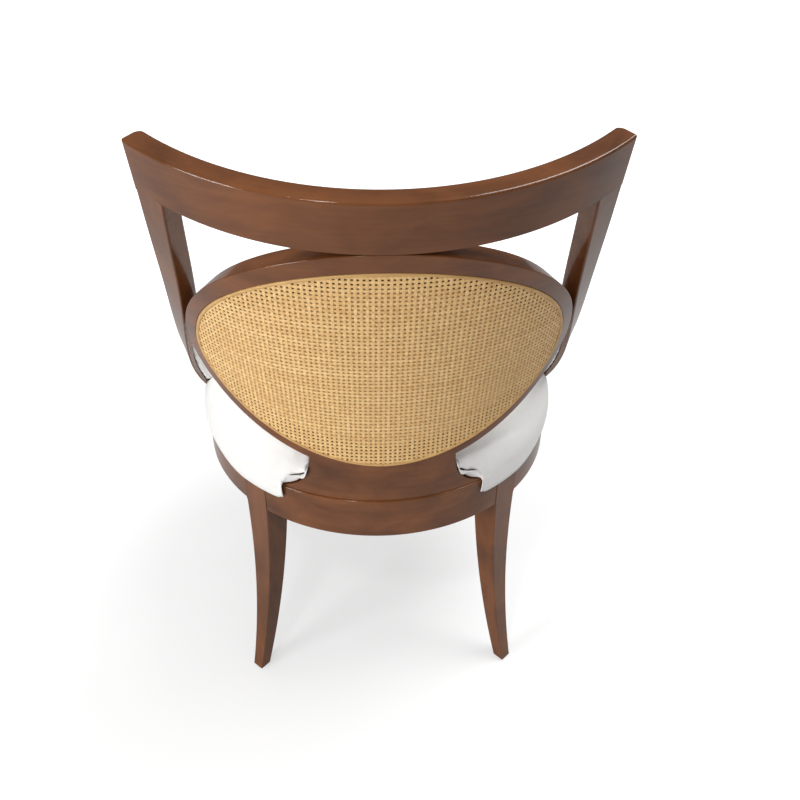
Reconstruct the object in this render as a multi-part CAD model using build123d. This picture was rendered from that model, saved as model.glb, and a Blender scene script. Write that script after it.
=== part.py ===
from build123d import *
from math import acos, asin, cos, degrees, radians, sin, sqrt, tan
import os

# Units are millimetres. The chair faces -Y, its left side is +X, and it stands on Z = 0.
# While it is being built, the seat ring is centred on X = 0, Y = 0.

# Seat ring
ring_radius = 260
rail_top = 400
rail_height = 64
rail_thickness = 25
rail_edge_round = 2

# Curved board that the crest rail, the stiles and the oval frame are all cut from
board_thickness = 23.5
board_ledge = 2.5
foot_slope = -0.05
crest_top = 863
crest_setback = 362
crest_radius = 349
recline = 13.8
crest_height = 58.7
crest_edge_round = 2.5
crest_end_round = 10

# Stiles, which sweep forward ever faster towards the seat
stile_foot_turn = 83
stile_top_turn = 45.3
stile_hollow_turn = 6.3
stile_sweep_turn = 15
stile_sweep_share = 0.6
stile_foot_width = 33
stile_top_width = 42
stile_edge_round = 2
joint_gap = 0.4

# Padded facings let into the inner side of the stiles, above the seat
stile_show_thickness = 7
facing_low = 32
facing_high = 160
facing_clearance = 0.5

# Oval frame: it stands a little below the crown of the seat and ends under the crest rail
oval_half_width = 240.5
oval_tuck = 13
oval_gap = 0.4
oval_middle_share = 0.4411
upper_exponent_share = 2
lower_exponent_share = 1.8
face_width_side = 14.5
face_width_top = 23
face_width_bottom = 12.5
groove_width = 4.6
groove_depth = 5
lip_width_side = 23
lip_width_top = 16
lip_width_bottom = 30
cane_recess = 2.4
frame_edge_round = 1.2

# Pedestal that carries the oval on the rear rail
waist_half_width = 94
notch_width = 52
notch_tuck = 2
pedestal_foot_half_width = 134

# Cane and the reed spline that holds it
cane_thickness = 1.2
cane_clearance = 0.5
spline_clearance = 0.35
spline_proud = 1

# Padded inside back
pad_inset = 12
pad_board_thickness = 4
pad_clearance = 0.6
lining_thickness = 0.8
lining_clearance = 1.4
lining_recess = 3
pad_edge = 8
pad_crown = 12
cover_thickness = 1.6
soft_clearance = 0.3
welt_width = 6
welt_proud = 3

# Legs
leg_turn = 43
leg_top_size = 41.2
leg_foot_size = 18.6
leg_flare = 38.3
leg_flare_power_share = 2.2
leg_edge_round = 1.5

# Glides under the feet
glide_diameter = 13
glide_height = 3
glide_pin_diameter = 3
glide_pin_length = 14

# Corner blocks
block_depth = 35
block_half_width = 70
block_height = 42
block_drop = 3

# Seat
seat_board_thickness = 12
seat_board_inset = 8
seat_overhang = 8
seat_hem_drop = 12
seat_hem_clearance = 1.2
seat_thickness = 61
seat_notch_clearance = 1.5
dust_cover_thickness = 0.8

# Dowels and screws
dowel_diameter = 8
dowel_length = 36
dowel_clearance = 0.1
screw_diameter = 4.5
screw_head_diameter = 9
screw_head_height = 3
screw_length = 48
seat_screw_length = 53
screw_clearance = 0.1

overrun = 5
overrun_share = 0.05
slope_step = 1
half_turn = 180
full_turn = 360

# Sizes that follow from the ones above
seat_height = rail_top + seat_thickness
crest_bottom = crest_top - crest_height
notch_top = seat_height - notch_tuck
oval_foot = seat_height - oval_tuck
oval_reach = crest_bottom - oval_gap - oval_foot
oval_drop = oval_reach * oval_middle_share
oval_rise = oval_reach - oval_drop
oval_centre_height = oval_foot + oval_drop

# Outlines as shares of the sizes they follow
seat_arc_shares = [
    [(0.982, 0), (1, 0.33), (0.965, 0.72)],
    [(0.965, 0.72), (0.925, 0.86), (0.84, 0.93)],
]
reed_shares = [(0, 0), (1, 0), (1, 0.8), (0.8, 0.95), (0.5, 1), (0.2, 0.95), (0, 0.8)]
welt_shares = [(0, 0), (1, 0), (1, 0.6), (0.8, 0.92), (0.5, 1), (0.2, 0.92), (0, 0.6)]
pedestal_dowel_shares = [-0.8, 0, 0.8]

# How finely the lofts follow the board
layer_points = 9
layer_slices = 15
layer_end_angle = 10
bead_sections = 37
bead_joint_angle = 0.1
flank_steps = 9


# Curved board

def rise_share(height):
    """How far up the back a height lies, from 0 at the rail to 1 at the crest."""
    return (height - rail_top) / (crest_top - rail_top)


def board_radius(height):
    """Plan radius of the board's rear face, which opens out towards the crest."""
    return ring_radius + (crest_radius - ring_radius) * rise_share(height)


def board_rear(height):
    """Y of the rear face on the centre line: upright at the seat, leaning back above."""
    share = rise_share(height)
    span = crest_top - rail_top
    start = ring_radius - board_ledge
    start_weight = 2 * share**3 - 3 * share**2 + 1
    start_slope_weight = share**3 - 2 * share**2 + share
    end_slope_weight = share**3 - share**2
    place = start * start_weight + crest_setback * (1 - start_weight)
    lean = foot_slope * start_slope_weight + tan(radians(recline)) * end_slope_weight
    return place + span * lean


def board_normal(turn, height):
    """Unit vector square to the board, pointing out of its rear face."""
    angle = radians(turn)
    opening = (board_radius(height + slope_step) - board_radius(height - slope_step)) / (2 * slope_step)
    leaning = (board_rear(height + slope_step) - board_rear(height - slope_step)) / (2 * slope_step)
    slope = opening + (leaning - opening) * cos(angle)
    return Vector(sin(angle), cos(angle), -slope).normalized()


def board_point(turn, height, depth=0):
    """A point of the board: degrees round from the rear, height, and depth in from the rear face."""
    angle = radians(turn)
    radius = board_radius(height)
    rear = Vector(radius * sin(angle), board_rear(height) - radius * (1 - cos(angle)), height)
    return rear - board_normal(turn, height) * depth


def turn_at(x, height):
    """Degrees round from the rear at which the board's rear face has this X."""
    return degrees(asin(x / board_radius(height)))


def flat_section(corners, end=1, rounded=(), edge_round=0):
    """A flat face through board corners given as turn, height and depth.

    The first corner and the one at end are equally deep and give the section its line.
    The corners whose places are listed as rounded get that edge radius."""
    points = [board_point(*corner) for corner in corners]
    along = (points[end] - points[0]).normalized()
    middle_turn = (corners[0][0] + corners[end][0]) / 2
    middle_height = (corners[0][1] + corners[end][1]) / 2
    square = along.cross(board_normal(middle_turn, middle_height)).normalized()
    flat = [point - square * (point - points[0]).dot(square) for point in points]
    section = make_face(Polyline(*flat, close=True))
    for place in rounded:
        corner = section.vertices().sort_by_distance(flat[place])[0]
        section = fillet(corner, edge_round)
    return section


def square_cut_height(base, turn):
    """Height of an edge that is cut square to the leaning board, base high on the centre line."""
    opening = (crest_radius - ring_radius) / (crest_top - rail_top)
    lift = tan(radians(recline)) * (1 - cos(radians(turn)))
    return (base + lift * (crest_radius - opening * crest_top)) / (1 - lift * opening)


def spread(first, last, count):
    """Evenly spaced values from first to last."""
    return [first + (last - first) * index / (count - 1) for index in range(count)]


def rod(start, end, diameter):
    """A round rod between two points."""
    axis = Plane(origin=start, z_dir=end - start)
    return extrude(axis * Circle(diameter / 2), (end - start).length)


# Stiles

stile_reach = square_cut_height(crest_top, stile_top_turn)


def stile_outer_turn(height):
    """Where the stile's outer edge lies: it sweeps forward to the side rail."""
    share = (height - rail_top) / (stile_reach - rail_top)
    straight = stile_foot_turn + (stile_top_turn - stile_foot_turn) * share
    hollow = stile_hollow_turn * 4 * share * (1 - share)
    sweep = stile_sweep_turn * max(0, 1 - share / stile_sweep_share) ** 2
    return straight - hollow + sweep


def stile_inner_turn(height):
    """Where the stile's inner edge lies, one width from the outer edge."""
    share = (height - rail_top) / (stile_reach - rail_top)
    width = stile_foot_width + (stile_top_width - stile_foot_width) * share
    return stile_outer_turn(height) - degrees(width / board_radius(height))


def stile_form(side, grow=0, outward=0):
    """The stile's bar, longer than the stile at both ends, grown all round if asked."""
    sections = []
    for height in spread(rail_top - 4 * overrun, stile_reach - crest_height / 2, 9):
        margin = degrees(grow / board_radius(height))
        outer = side * (stile_outer_turn(height) + margin)
        inner = side * (stile_inner_turn(height) - margin)
        back = -grow - outward
        front = board_thickness + grow
        corners = [(outer, height, back), (inner, height, back), (inner, height, front), (outer, height, front)]
        sections.append(flat_section(corners, rounded=range(4), edge_round=stile_edge_round))
    return loft(sections)


def crest_joint_plane(side):
    """The plane under the end of the crest rail, where the stile is jointed to it."""
    outer_turn = stile_outer_turn(square_cut_height(crest_bottom, stile_top_turn))
    inner_turn = outer_turn - degrees(stile_top_width / crest_radius)
    outer = board_point(side * outer_turn, square_cut_height(crest_bottom, outer_turn))
    inner = board_point(side * inner_turn, square_cut_height(crest_bottom, inner_turn))
    facing = board_normal(side * (outer_turn + inner_turn) / 2, crest_bottom)
    up = facing.cross(inner - outer) * side
    return Plane(origin=outer - up.normalized() * joint_gap, z_dir=up)


def stile(side):
    """One stile, from the top of the side rail to the underside of the crest rail."""
    bar = stile_form(side) - stile_facing(side, facing_clearance)
    bar = split(bar, bisect_by=Plane.XY.offset(rail_top), keep=Keep.TOP)
    return split(bar, bisect_by=crest_joint_plane(side), keep=Keep.BOTTOM)


def stile_facing(side, grow=0):
    """The padded facing on the inner side of a stile, or the room that is cut for it."""
    sections = []
    room = overrun if grow else 0
    for height in spread(rail_top + facing_low - grow, rail_top + facing_high + grow, 9):
        margin = degrees(room / board_radius(height))
        outer = side * (stile_outer_turn(height) + margin)
        inner = side * (stile_inner_turn(height) - margin)
        back = stile_show_thickness - grow
        front = board_thickness + room
        corners = [(outer, height, back), (inner, height, back), (inner, height, front), (outer, height, front)]
        sections.append(flat_section(corners))
    return loft(sections)


# Crest rail

def crest_end_corner(side, depth, radius):
    """What is cut away to round an upright corner at the end of the crest rail."""
    low_turn = stile_outer_turn(square_cut_height(crest_bottom, stile_top_turn))
    low = board_point(side * low_turn, square_cut_height(crest_bottom, low_turn), depth)
    high = board_point(side * stile_top_turn, square_cut_height(crest_top, stile_top_turn), depth)
    middle = board_point(0, crest_top, depth)
    outward = board_normal(side * stile_top_turn, crest_top)
    up = (high - low).normalized()
    along = outward.cross(up) * side
    if along.dot(middle - high) < 0:
        along = along * -1
    into = outward if depth else outward * -1
    start = low - up * overrun
    corner = [(-overrun, radius), (-overrun, -overrun), (radius, -overrun)]
    places = [start + along * x + into * y for x, y in corner]
    bend = radius * (1 - cos(radians(half_turn / 4)))
    arc_start = start + along * radius
    arc_end = start + into * radius
    arc_middle = start + along * bend + into * bend
    outline = Line(arc_end, places[0]) + Line(places[0], places[1]) + Line(places[1], places[2])
    outline += Line(places[2], arc_start) + ThreePointArc(arc_start, arc_middle, arc_end)
    return extrude(make_face(outline), (high - low).length + 2 * overrun, dir=up)


def crest_rail():
    """The curved top rail, cut square to the board, its ends in line with the stiles."""
    end_bottom_turn = stile_outer_turn(square_cut_height(crest_bottom, stile_top_turn))
    sections = []
    for share in spread(-1, 1, 13):
        low_turn = end_bottom_turn * share
        high_turn = stile_top_turn * share
        low = square_cut_height(crest_bottom, low_turn)
        high = square_cut_height(crest_top, high_turn)
        corners = [(low_turn, low, 0), (high_turn, high, 0)]
        corners += [(high_turn, high, board_thickness), (low_turn, low, board_thickness)]
        sections.append(flat_section(corners, rounded=(1, 2), edge_round=crest_edge_round))
    corners = [crest_end_corner(side, board_thickness, crest_end_round) for side in (-1, 1)]
    corners += [crest_end_corner(side, 0, stile_edge_round) for side in (-1, 1)]
    return loft(sections) - corners


# Oval frame

class Oval:
    """One oval line of the frame, as seen from behind."""

    def __init__(self, half_width, rise, drop):
        self.half_width = half_width
        self.rise = rise
        self.drop = drop

    def inset(self, side, top, bottom):
        """The oval line that lies inside this one."""
        return Oval(self.half_width - side, self.rise - top, self.drop - bottom)

    def upper(self, angle):
        """X and height on the upper half, by an angle of up to half a turn."""
        x = self.half_width * cos(radians(angle))
        return x, oval_centre_height + self.rise * sin(radians(angle))

    def around(self, angle):
        """X and height by an angle, from a quarter turn below the left side all round."""
        if 0 <= angle <= half_turn:
            return self.upper(angle)
        across = cos(radians(angle))
        x = self.half_width * abs(across) ** (2 / lower_exponent_share)
        drop = self.drop * abs(sin(radians(angle))) ** (2 / lower_exponent_share)
        return (x if across > 0 else -x), oval_centre_height - drop

    def height_above(self, x):
        """Height of the upper half over an X."""
        share = abs(x) / self.half_width
        fall = (1 - share**upper_exponent_share) ** (1 / upper_exponent_share)
        return oval_centre_height + self.rise * fall

    def height_below(self, x):
        """Height of the lower half under an X."""
        share = abs(x) / self.half_width
        fall = (1 - share**lower_exponent_share) ** (1 / lower_exponent_share)
        return oval_centre_height - self.drop * fall

    def lower(self, share, side):
        """X and height on the lower side, from the widest place at 0 to the waist at 1."""
        waist_cosine = (waist_half_width / self.half_width) ** (lower_exponent_share / 2)
        angle = share * acos(waist_cosine)
        x = side * self.half_width * cos(angle) ** (2 / lower_exponent_share)
        if angle < 0:
            return side * self.half_width * cos(angle), oval_centre_height - self.rise * sin(angle)
        return x, oval_centre_height - self.drop * sin(angle) ** (2 / lower_exponent_share)


outer_line = Oval(oval_half_width, oval_rise, oval_drop)
groove_line = outer_line.inset(face_width_side, face_width_top, face_width_bottom)
cane_line = groove_line.inset(groove_width, groove_width, groove_width)
lip_line = cane_line.inset(lip_width_side, lip_width_top, lip_width_bottom)
pad_line = outer_line.inset(pad_inset, pad_inset, pad_inset)


def on_board(place, depth):
    """An X and height turned into turn, height and depth."""
    x, height = place
    return turn_at(x, height), height, depth


def frame_corners(outer, groove, cane, lip):
    """The frame's section: its face, the groove for the reed, the recess and the lip."""
    corners = [on_board(outer, 0), on_board(groove, 0)]
    corners += [on_board(groove, groove_depth), on_board(cane, groove_depth)]
    corners += [on_board(cane, cane_recess), on_board(lip, cane_recess)]
    front = [lip, cane, groove, outer]
    return corners + [on_board(place, board_thickness) for place in front]


def frame_section(places):
    """The frame's section with its two outer edges and the edge of its groove rounded."""
    corners = frame_corners(*places)
    edges = (0, 1, len(corners) - 1)
    return flat_section(corners, rounded=edges, edge_round=frame_edge_round)


def frame_top():
    """The upper arch of the oval frame, down to its widest places."""
    sections = []
    for angle in spread(-layer_end_angle / 2, half_turn + layer_end_angle / 2, 21):
        places = [line.upper(angle) for line in (outer_line, groove_line, cane_line, lip_line)]
        sections.append(frame_section(places))
    return split(loft(sections), bisect_by=Plane.XY.offset(oval_centre_height), keep=Keep.TOP)


def waist_plane(side):
    """The upright plane where a lower side of the frame meets the pedestal."""
    turn = turn_at(side * waist_half_width, notch_top)
    along = Vector(cos(radians(turn)), -sin(radians(turn)), 0)
    return Plane(origin=board_point(turn, notch_top), z_dir=along * side)


def frame_side(side):
    """A lower side of the oval frame, from its widest place to the pedestal."""
    sections = []
    for share in spread(-overrun_share, 1 + overrun_share, 11):
        places = [line.lower(share, side) for line in (outer_line, groove_line, cane_line, lip_line)]
        sections.append(frame_section(places))
    arm = loft(sections)
    arm = split(arm, bisect_by=Plane.XY.offset(oval_centre_height), keep=Keep.BOTTOM)
    return split(arm, bisect_by=waist_plane(side), keep=Keep.TOP)


def pedestal_core():
    """The middle of the pedestal, with the lowest part of the oval cut into it."""
    sections = []
    for x in spread(-waist_half_width - overrun, waist_half_width + overrun, 11):
        places = [(x, line.height_below(x)) for line in (groove_line, cane_line, lip_line)]
        corners = frame_corners((x, rail_top), *places)
        sections.append(flat_section(corners))
    core = loft(sections)
    for side in (-1, 1):
        core = split(core, bisect_by=waist_plane(side), keep=Keep.BOTTOM)
    return core


def notch_height(x):
    """Height of the hollow flank of the pedestal over an X."""
    across = (waist_half_width + notch_width - x) / notch_width
    return notch_top - (notch_top - rail_top) * sqrt(1 - min(across, 1) ** 2)


def pedestal_flare(side):
    """The spreading foot beside the pedestal's waist, under the hollow flank."""
    sections = []
    for x in spread(waist_half_width - overrun, pedestal_foot_half_width, 12):
        high = notch_height(x)
        places = [(side * x, rail_top), (side * x, high)]
        corners = [on_board(places[0], 0), on_board(places[1], 0)]
        corners += [on_board(places[1], board_thickness), on_board(places[0], board_thickness)]
        sections.append(flat_section(corners))
    return split(loft(sections), bisect_by=waist_plane(side), keep=Keep.TOP)


def pedestal():
    """The broad piece that stands on the rear rail and carries the oval."""
    body = pedestal_core()
    for side in (-1, 1):
        body = body + pedestal_flare(side)
    seat_plane = Plane.XY.offset(rail_top)
    return split(body, bisect_by=seat_plane, keep=Keep.TOP)


# Cane panel, its reed spline and the padded inside back

def board_slice(x, line, rear_depth, front_depth):
    """An upright slice of a layer of the board, inside an oval line.

    The front depth is a function of how far across and how far up the slice a point lies."""
    low = line.height_below(x)
    high = line.height_above(x)
    heights = spread(low, high, layer_points)
    rear = [on_board((x, height), rear_depth) for height in heights]
    front = []
    for height in reversed(heights):
        up_share = (2 * height - low - high) / (high - low)
        front.append(on_board((x, height), front_depth(x / line.half_width, up_share)))
    return flat_section(rear + front, end=layer_points - 1)


def board_layer(line, rear_depth, front_depth):
    """A layer of the board inside an oval line, lofted from side to side."""
    angles = spread(layer_end_angle, half_turn - layer_end_angle, layer_slices)
    places = [line.half_width * cos(radians(angle)) for angle in angles]
    return loft([board_slice(x, line, rear_depth, front_depth) for x in places])


def cane_panel():
    """The sheet of woven cane, from groove to groove over the lip."""
    line = cane_line.inset(spline_clearance, spline_clearance, spline_clearance)
    return board_layer(line, cane_clearance, lambda across, up: cane_clearance + cane_thickness)


def between(first, second, share):
    """The place that lies this share of the way from one place to another."""
    return tuple(start + (stop - start) * share for start, stop in zip(first, second))


def oval_bead(outer, inner, corner_shares, deepest, shallowest):
    """A thin strip laid round an oval, its ends meeting at the bottom."""
    sections = []
    first = bead_joint_angle - half_turn / 2
    for angle in spread(first, first + full_turn - 2 * bead_joint_angle, bead_sections):
        far = outer.around(angle)
        near = inner.around(angle)
        corners = []
        for across_share, depth_share in corner_shares:
            depth = deepest + (shallowest - deepest) * depth_share
            corners.append(on_board(between(far, near, across_share), depth))
        sections.append(flat_section(corners))
    return loft(sections)


def cane_spline():
    """The rounded reed that is pressed into the groove and holds the cane."""
    outer = groove_line.inset(spline_clearance, spline_clearance, spline_clearance)
    inner = cane_line.inset(-spline_clearance, -spline_clearance, -spline_clearance)
    return oval_bead(outer, inner, reed_shares, groove_depth - spline_clearance, -spline_proud)


pad_rear = board_thickness + pad_clearance
pad_face = pad_rear + pad_board_thickness + pad_clearance


def back_pad_board():
    """The thin bent board that lies on the front of the oval frame and carries the padding."""
    line = pad_line.inset(welt_width, welt_width, welt_width)
    front = pad_rear + pad_board_thickness
    return board_layer(line, pad_rear, lambda across, up: front)


def back_lining():
    """The pale cloth stretched inside the lip, close behind the cane, through which it shows."""
    line = lip_line.inset(lining_clearance, lining_clearance, lining_clearance)
    front = lining_recess + lining_thickness
    return board_layer(line, lining_recess, lambda across, up: front)


def pad_depth(start, edge, crown):
    """Depth of a crowned front face: the edge all round and the crown in the middle."""
    def depth(across, up):
        fullness = max(0, (1 - across**2) * (1 - up**2))
        return start + edge + crown * sqrt(fullness)
    return depth


def back_pad_foam():
    """The foam of the inside back, crowned in the middle."""
    inset = welt_width + cover_thickness + 2 * soft_clearance
    line = pad_line.inset(inset, inset, inset)
    edge = pad_edge - cover_thickness - soft_clearance
    return board_layer(line, pad_face, pad_depth(pad_face, edge, pad_crown))


def back_pad_cover():
    """The cloth over the foam, from the edge of the pad board round the crown."""
    line = pad_line.inset(welt_width, welt_width, welt_width)
    inset = welt_width + cover_thickness + soft_clearance
    hollow_line = pad_line.inset(inset, inset, inset)
    outside = board_layer(line, pad_face, pad_depth(pad_face, pad_edge, pad_crown))
    hollow_start = pad_face - overrun
    hollow_edge = pad_edge - cover_thickness + overrun
    hollow = board_layer(hollow_line, hollow_start, pad_depth(hollow_start, hollow_edge, pad_crown))
    return outside - hollow


def back_pad_welt():
    """The covered cord that hides the edge of the cloth on the frame."""
    inner = pad_line.inset(welt_width, welt_width, welt_width)
    inner = inner.inset(-soft_clearance, -soft_clearance, -soft_clearance)
    front = pad_face + welt_proud
    return oval_bead(pad_line, inner, welt_shares, pad_rear, front)


# Seat ring and legs

knee_height = rail_top - rail_height
leg_turns = [leg_turn, -leg_turn, half_turn - leg_turn, leg_turn - half_turn]


def at_leg(turn):
    """Moves a piece made at the rear, on the Y axis, round the ring to a leg."""
    return Rot(0, 0, -turn)


def leg_face(height):
    """How far out the leg's outer face lies: flush with the ring, then flaring to the foot."""
    share = height / knee_height
    return ring_radius + leg_flare * (1 - share) ** leg_flare_power_share


def leg_size(height):
    """Side of the leg's square section."""
    return leg_foot_size + (leg_top_size - leg_foot_size) * height / knee_height


def leg_square(height):
    """The leg's square section at one height."""
    size = leg_size(height)
    return Pos(0, leg_face(height) - size / 2, height) * Rectangle(size, size)


def leg_post(grow=0):
    """The straight top of a leg, which is part of the seat ring."""
    size = leg_top_size + 2 * grow
    centre = ring_radius - leg_top_size / 2
    return Pos(0, centre, knee_height + rail_height / 2) * Box(size, size, rail_height + 2 * grow)


def leg(turn):
    """A sabre leg with its post, dowel holes, screw holes and the hole for its glide."""
    blade = loft([leg_square(height) for height in spread(glide_height, knee_height, 8)])
    blade = fillet(blade.edges().filter_by(lambda edge: edge.length > knee_height / 2), leg_edge_round)
    body = blade + leg_post()
    holes = rail_dowel_rods(dowel_clearance) + block_screws(screw_clearance) + [glide(screw_clearance)]
    return at_leg(turn) * (body - holes)


def rail_dowel_rods(grow=0):
    """The dowels from a leg into the rails on its two sides."""
    rods = []
    middle = ring_radius - rail_thickness / 2
    reach = dowel_length / 2 + grow
    for side in (-1, 1):
        for height in (knee_height + rail_height / 4, rail_top - rail_height / 4):
            start = Vector(side * (leg_top_size / 2 - reach), middle, height)
            end = Vector(side * (leg_top_size / 2 + reach), middle, height)
            rods.append(rod(start, end, dowel_diameter + 2 * grow))
    return rods


def glide(grow=0):
    """A round glide and its pin, under a foot."""
    place = leg_face(glide_height) - leg_size(glide_height) / 2
    pin_top = Vector(0, place, glide_height + glide_pin_length + grow)
    pin = rod(Vector(0, place, glide_height / 2), pin_top, glide_pin_diameter + 2 * grow)
    if grow:
        return pin
    disc = rod(Vector(0, place, 0), Vector(0, place, glide_height), glide_diameter)
    return disc + pin


def glides():
    """The four glides."""
    return [at_leg(turn) * glide() for turn in leg_turns]


def beside_leg(turn, side, radius):
    """The point where a circle about the ring's centre meets a side face of a leg's post."""
    half = leg_top_size / 2
    return (at_leg(turn) * Pos(side * half, sqrt(radius**2 - half**2))).position


def rail(first_turn, last_turn):
    """A curved rail from one leg round to the next, with its dowel holes."""
    inner_radius = ring_radius - rail_thickness
    middle = radians((first_turn + last_turn) / 2)
    outer_start = beside_leg(first_turn, 1, ring_radius)
    outer_end = beside_leg(last_turn, -1, ring_radius)
    inner_start = beside_leg(first_turn, 1, inner_radius)
    inner_end = beside_leg(last_turn, -1, inner_radius)
    outline = ThreePointArc(outer_start, Vector(sin(middle), cos(middle)) * ring_radius, outer_end)
    outline += Line(outer_end, inner_end)
    outline += ThreePointArc(inner_end, Vector(sin(middle), cos(middle)) * inner_radius, inner_start)
    outline += Line(inner_start, outer_start)
    bar = extrude(Pos(0, 0, knee_height) * make_face(outline), rail_height)
    bar = fillet(bar.edges().filter_by(GeomType.CIRCLE).sort_by(SortBy.RADIUS)[-2:], rail_edge_round)
    holes = foot_dowel_rods(dowel_clearance)
    for turn in (first_turn, last_turn):
        holes += [at_leg(turn) * hole for hole in rail_dowel_rods(dowel_clearance)]
    return bar - holes


def corner_block(turn):
    """A block glued and screwed behind a leg, notched round its post."""
    inner_radius = ring_radius - rail_thickness
    face = inner_radius - block_depth
    shoulder = sqrt(inner_radius**2 - block_half_width**2)
    outline = Polyline(
        (block_half_width, shoulder), (block_half_width, face), (-block_half_width, face),
        (-block_half_width, shoulder),
    )
    outline += ThreePointArc((-block_half_width, shoulder), (0, inner_radius), (block_half_width, shoulder))
    low = rail_top - block_drop - block_height
    block = extrude(Pos(0, 0, low) * make_face(outline), block_height)
    holes = block_screws(screw_clearance) + [seat_screw(screw_clearance)]
    return at_leg(turn) * (block - (holes + [leg_post()]))


def screw(start, end, grow):
    """A screw with a flat head, or the hole for one where grow is a clearance."""
    along = (end - start).normalized()
    shank = rod(start - along * grow, end + along * grow, screw_diameter + 2 * grow)
    if grow:
        return shank
    return shank + rod(start - along * screw_head_height, start, screw_head_diameter)


def block_screws(grow=0):
    """The two screws from a corner block into its leg."""
    face = ring_radius - rail_thickness - block_depth
    top = rail_top - block_drop
    places = [top - block_height / 4, top - 3 * block_height / 4]
    return [screw(Vector(0, face, z), Vector(0, face + screw_length, z), grow) for z in places]


def seat_screw(grow=0):
    """The screw from a corner block up into the seat board."""
    low = rail_top - block_drop - block_height
    out = ring_radius - rail_thickness - block_depth / 2
    across = block_half_width / 2
    return screw(Vector(across, out, low), Vector(across, out, low + seat_screw_length), grow)


# Dowels of the back

def board_up(turn, height, depth, length):
    """The two ends of a dowel that stands in the board, half its length above a height."""
    middle = board_point(turn, height, depth)
    up = (board_point(turn, height + overrun, depth) - middle).normalized()
    return middle - up * length / 2, middle + up * length / 2


def foot_dowel_rods(grow=0):
    """The dowels from the rails up into the pedestal and slanting into the stiles."""
    rods = []
    half = dowel_length / 2 + grow
    upright = Vector(0, 0, 1)
    places = [(turn_at(share * waist_half_width, rail_top), upright) for share in pedestal_dowel_shares]
    foot_turn = (stile_outer_turn(rail_top) + stile_inner_turn(rail_top)) / 2
    higher_turn = (stile_outer_turn(rail_top + overrun) + stile_inner_turn(rail_top + overrun)) / 2
    gap = degrees(dowel_diameter / ring_radius)
    for side in (-1, 1):
        foot = board_point(side * foot_turn, rail_top, board_thickness / 2)
        higher = board_point(side * higher_turn, rail_top + overrun, board_thickness / 2)
        slant = (higher - foot).normalized()
        places += [(side * (foot_turn - gap), slant), (side * (foot_turn + gap), slant)]
    for turn, direction in places:
        middle = board_point(turn, rail_top, board_thickness / 2)
        middle = Vector(middle.X, middle.Y, rail_top)
        rods.append(rod(middle - direction * half, middle + direction * half, dowel_diameter + 2 * grow))
    return rods


def back_dowel_rods(grow=0):
    """The dowels inside the back: crest to stiles, crest to oval, and round the oval."""
    rods = []
    length = dowel_length + 2 * grow
    diameter = dowel_diameter + 2 * grow
    depth = board_thickness / 2
    gap = degrees(dowel_diameter / crest_radius)
    joint_height = square_cut_height(crest_bottom, stile_top_turn)
    for side in (-1, 1):
        stile_turn = (stile_outer_turn(joint_height) + stile_inner_turn(joint_height)) / 2
        for turn in (stile_turn - gap, stile_turn + gap):
            rods.append(rod(*board_up(side * turn, joint_height, depth, length), diameter))
        crest_turn = turn_at(side * 2 * dowel_diameter, crest_bottom)
        rods.append(rod(*board_up(crest_turn, crest_bottom, depth, length), diameter))
        middle_x = side * (outer_line.half_width + lip_line.half_width) / 2
        side_turn = turn_at(middle_x, oval_centre_height)
        rods.append(rod(*board_up(side_turn, oval_centre_height, depth, length), diameter))
        waist_x = side * waist_half_width
        waist_height = (outer_line.height_below(waist_x) + lip_line.height_below(waist_x)) / 2
        middle = board_point(turn_at(waist_x, waist_height), waist_height, depth)
        half = waist_plane(side).z_dir * length / 2
        rods.append(rod(middle - half, middle + half, diameter))
    return rods


def with_holes(piece):
    """A piece of the back with every dowel hole that reaches it."""
    return piece - (back_dowel_rods(dowel_clearance) + foot_dowel_rods(dowel_clearance))


# Seat

def pedestal_notch(grow):
    """The gap that the upholstery leaves round the pedestal and under the oval, grown if asked."""
    margin = seat_notch_clearance + grow
    low = rail_top - 2 * seat_hem_drop
    oval_points = []
    for x in spread(outer_line.half_width, waist_half_width, flank_steps):
        oval_points.append((x + margin, outer_line.height_below(x)))
    flank_points = []
    for x in spread(waist_half_width, pedestal_foot_half_width, flank_steps):
        flank_points.append((x + margin, notch_height(x)))
    left = oval_points + flank_points + [(flank_points[-1][0], low)]
    right = [(-x, height) for x, height in reversed(left)]
    front = Plane.XZ * make_face(Polyline(*left, *right, close=True))
    prism = extrude(front, -(ring_radius + 2 * seat_overhang))
    core_radius = ring_radius - 2 * board_ledge - board_thickness - margin
    return prism - Pos(0, 0, rail_top) * Cylinder(core_radius, 4 * seat_height)


def seat_notches(grow):
    """The three gaps in the upholstery: round the pedestal and round each stile."""
    outward = 2 * seat_overhang if grow else 0
    margin = seat_notch_clearance + grow
    return [pedestal_notch(grow), stile_form(1, margin, outward), stile_form(-1, margin, outward)]


def seat_form(inset, wall=0):
    """The crowned round of the seat, drawn in at its hem, less its notches."""
    hem = rail_top - seat_hem_drop
    widest = ring_radius + seat_overhang
    rise = seat_height - inset - hem
    arcs = []
    for arc_shares in seat_arc_shares:
        points = [(widest * out - inset, 0, hem + rise * up) for out, up in arc_shares]
        arcs.append(ThreePointArc(*points))
    start = arcs[0] @ 0
    top = Vector(0, 0, seat_height - inset)
    arcs.append(TangentArc(top, arcs[-1] @ 1, tangent=(1, 0, 0)))
    low = Vector(start.X, 0, hem - (overrun if inset else 0))
    floor = Line(low, (0, 0, low.Z)) + Line((0, 0, low.Z), top)
    side = [Line(low, start)] if inset else []
    outline = make_face(Curve() + arcs + side + floor)
    return revolve(outline, Axis.Z) - seat_notches(wall)


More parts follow.
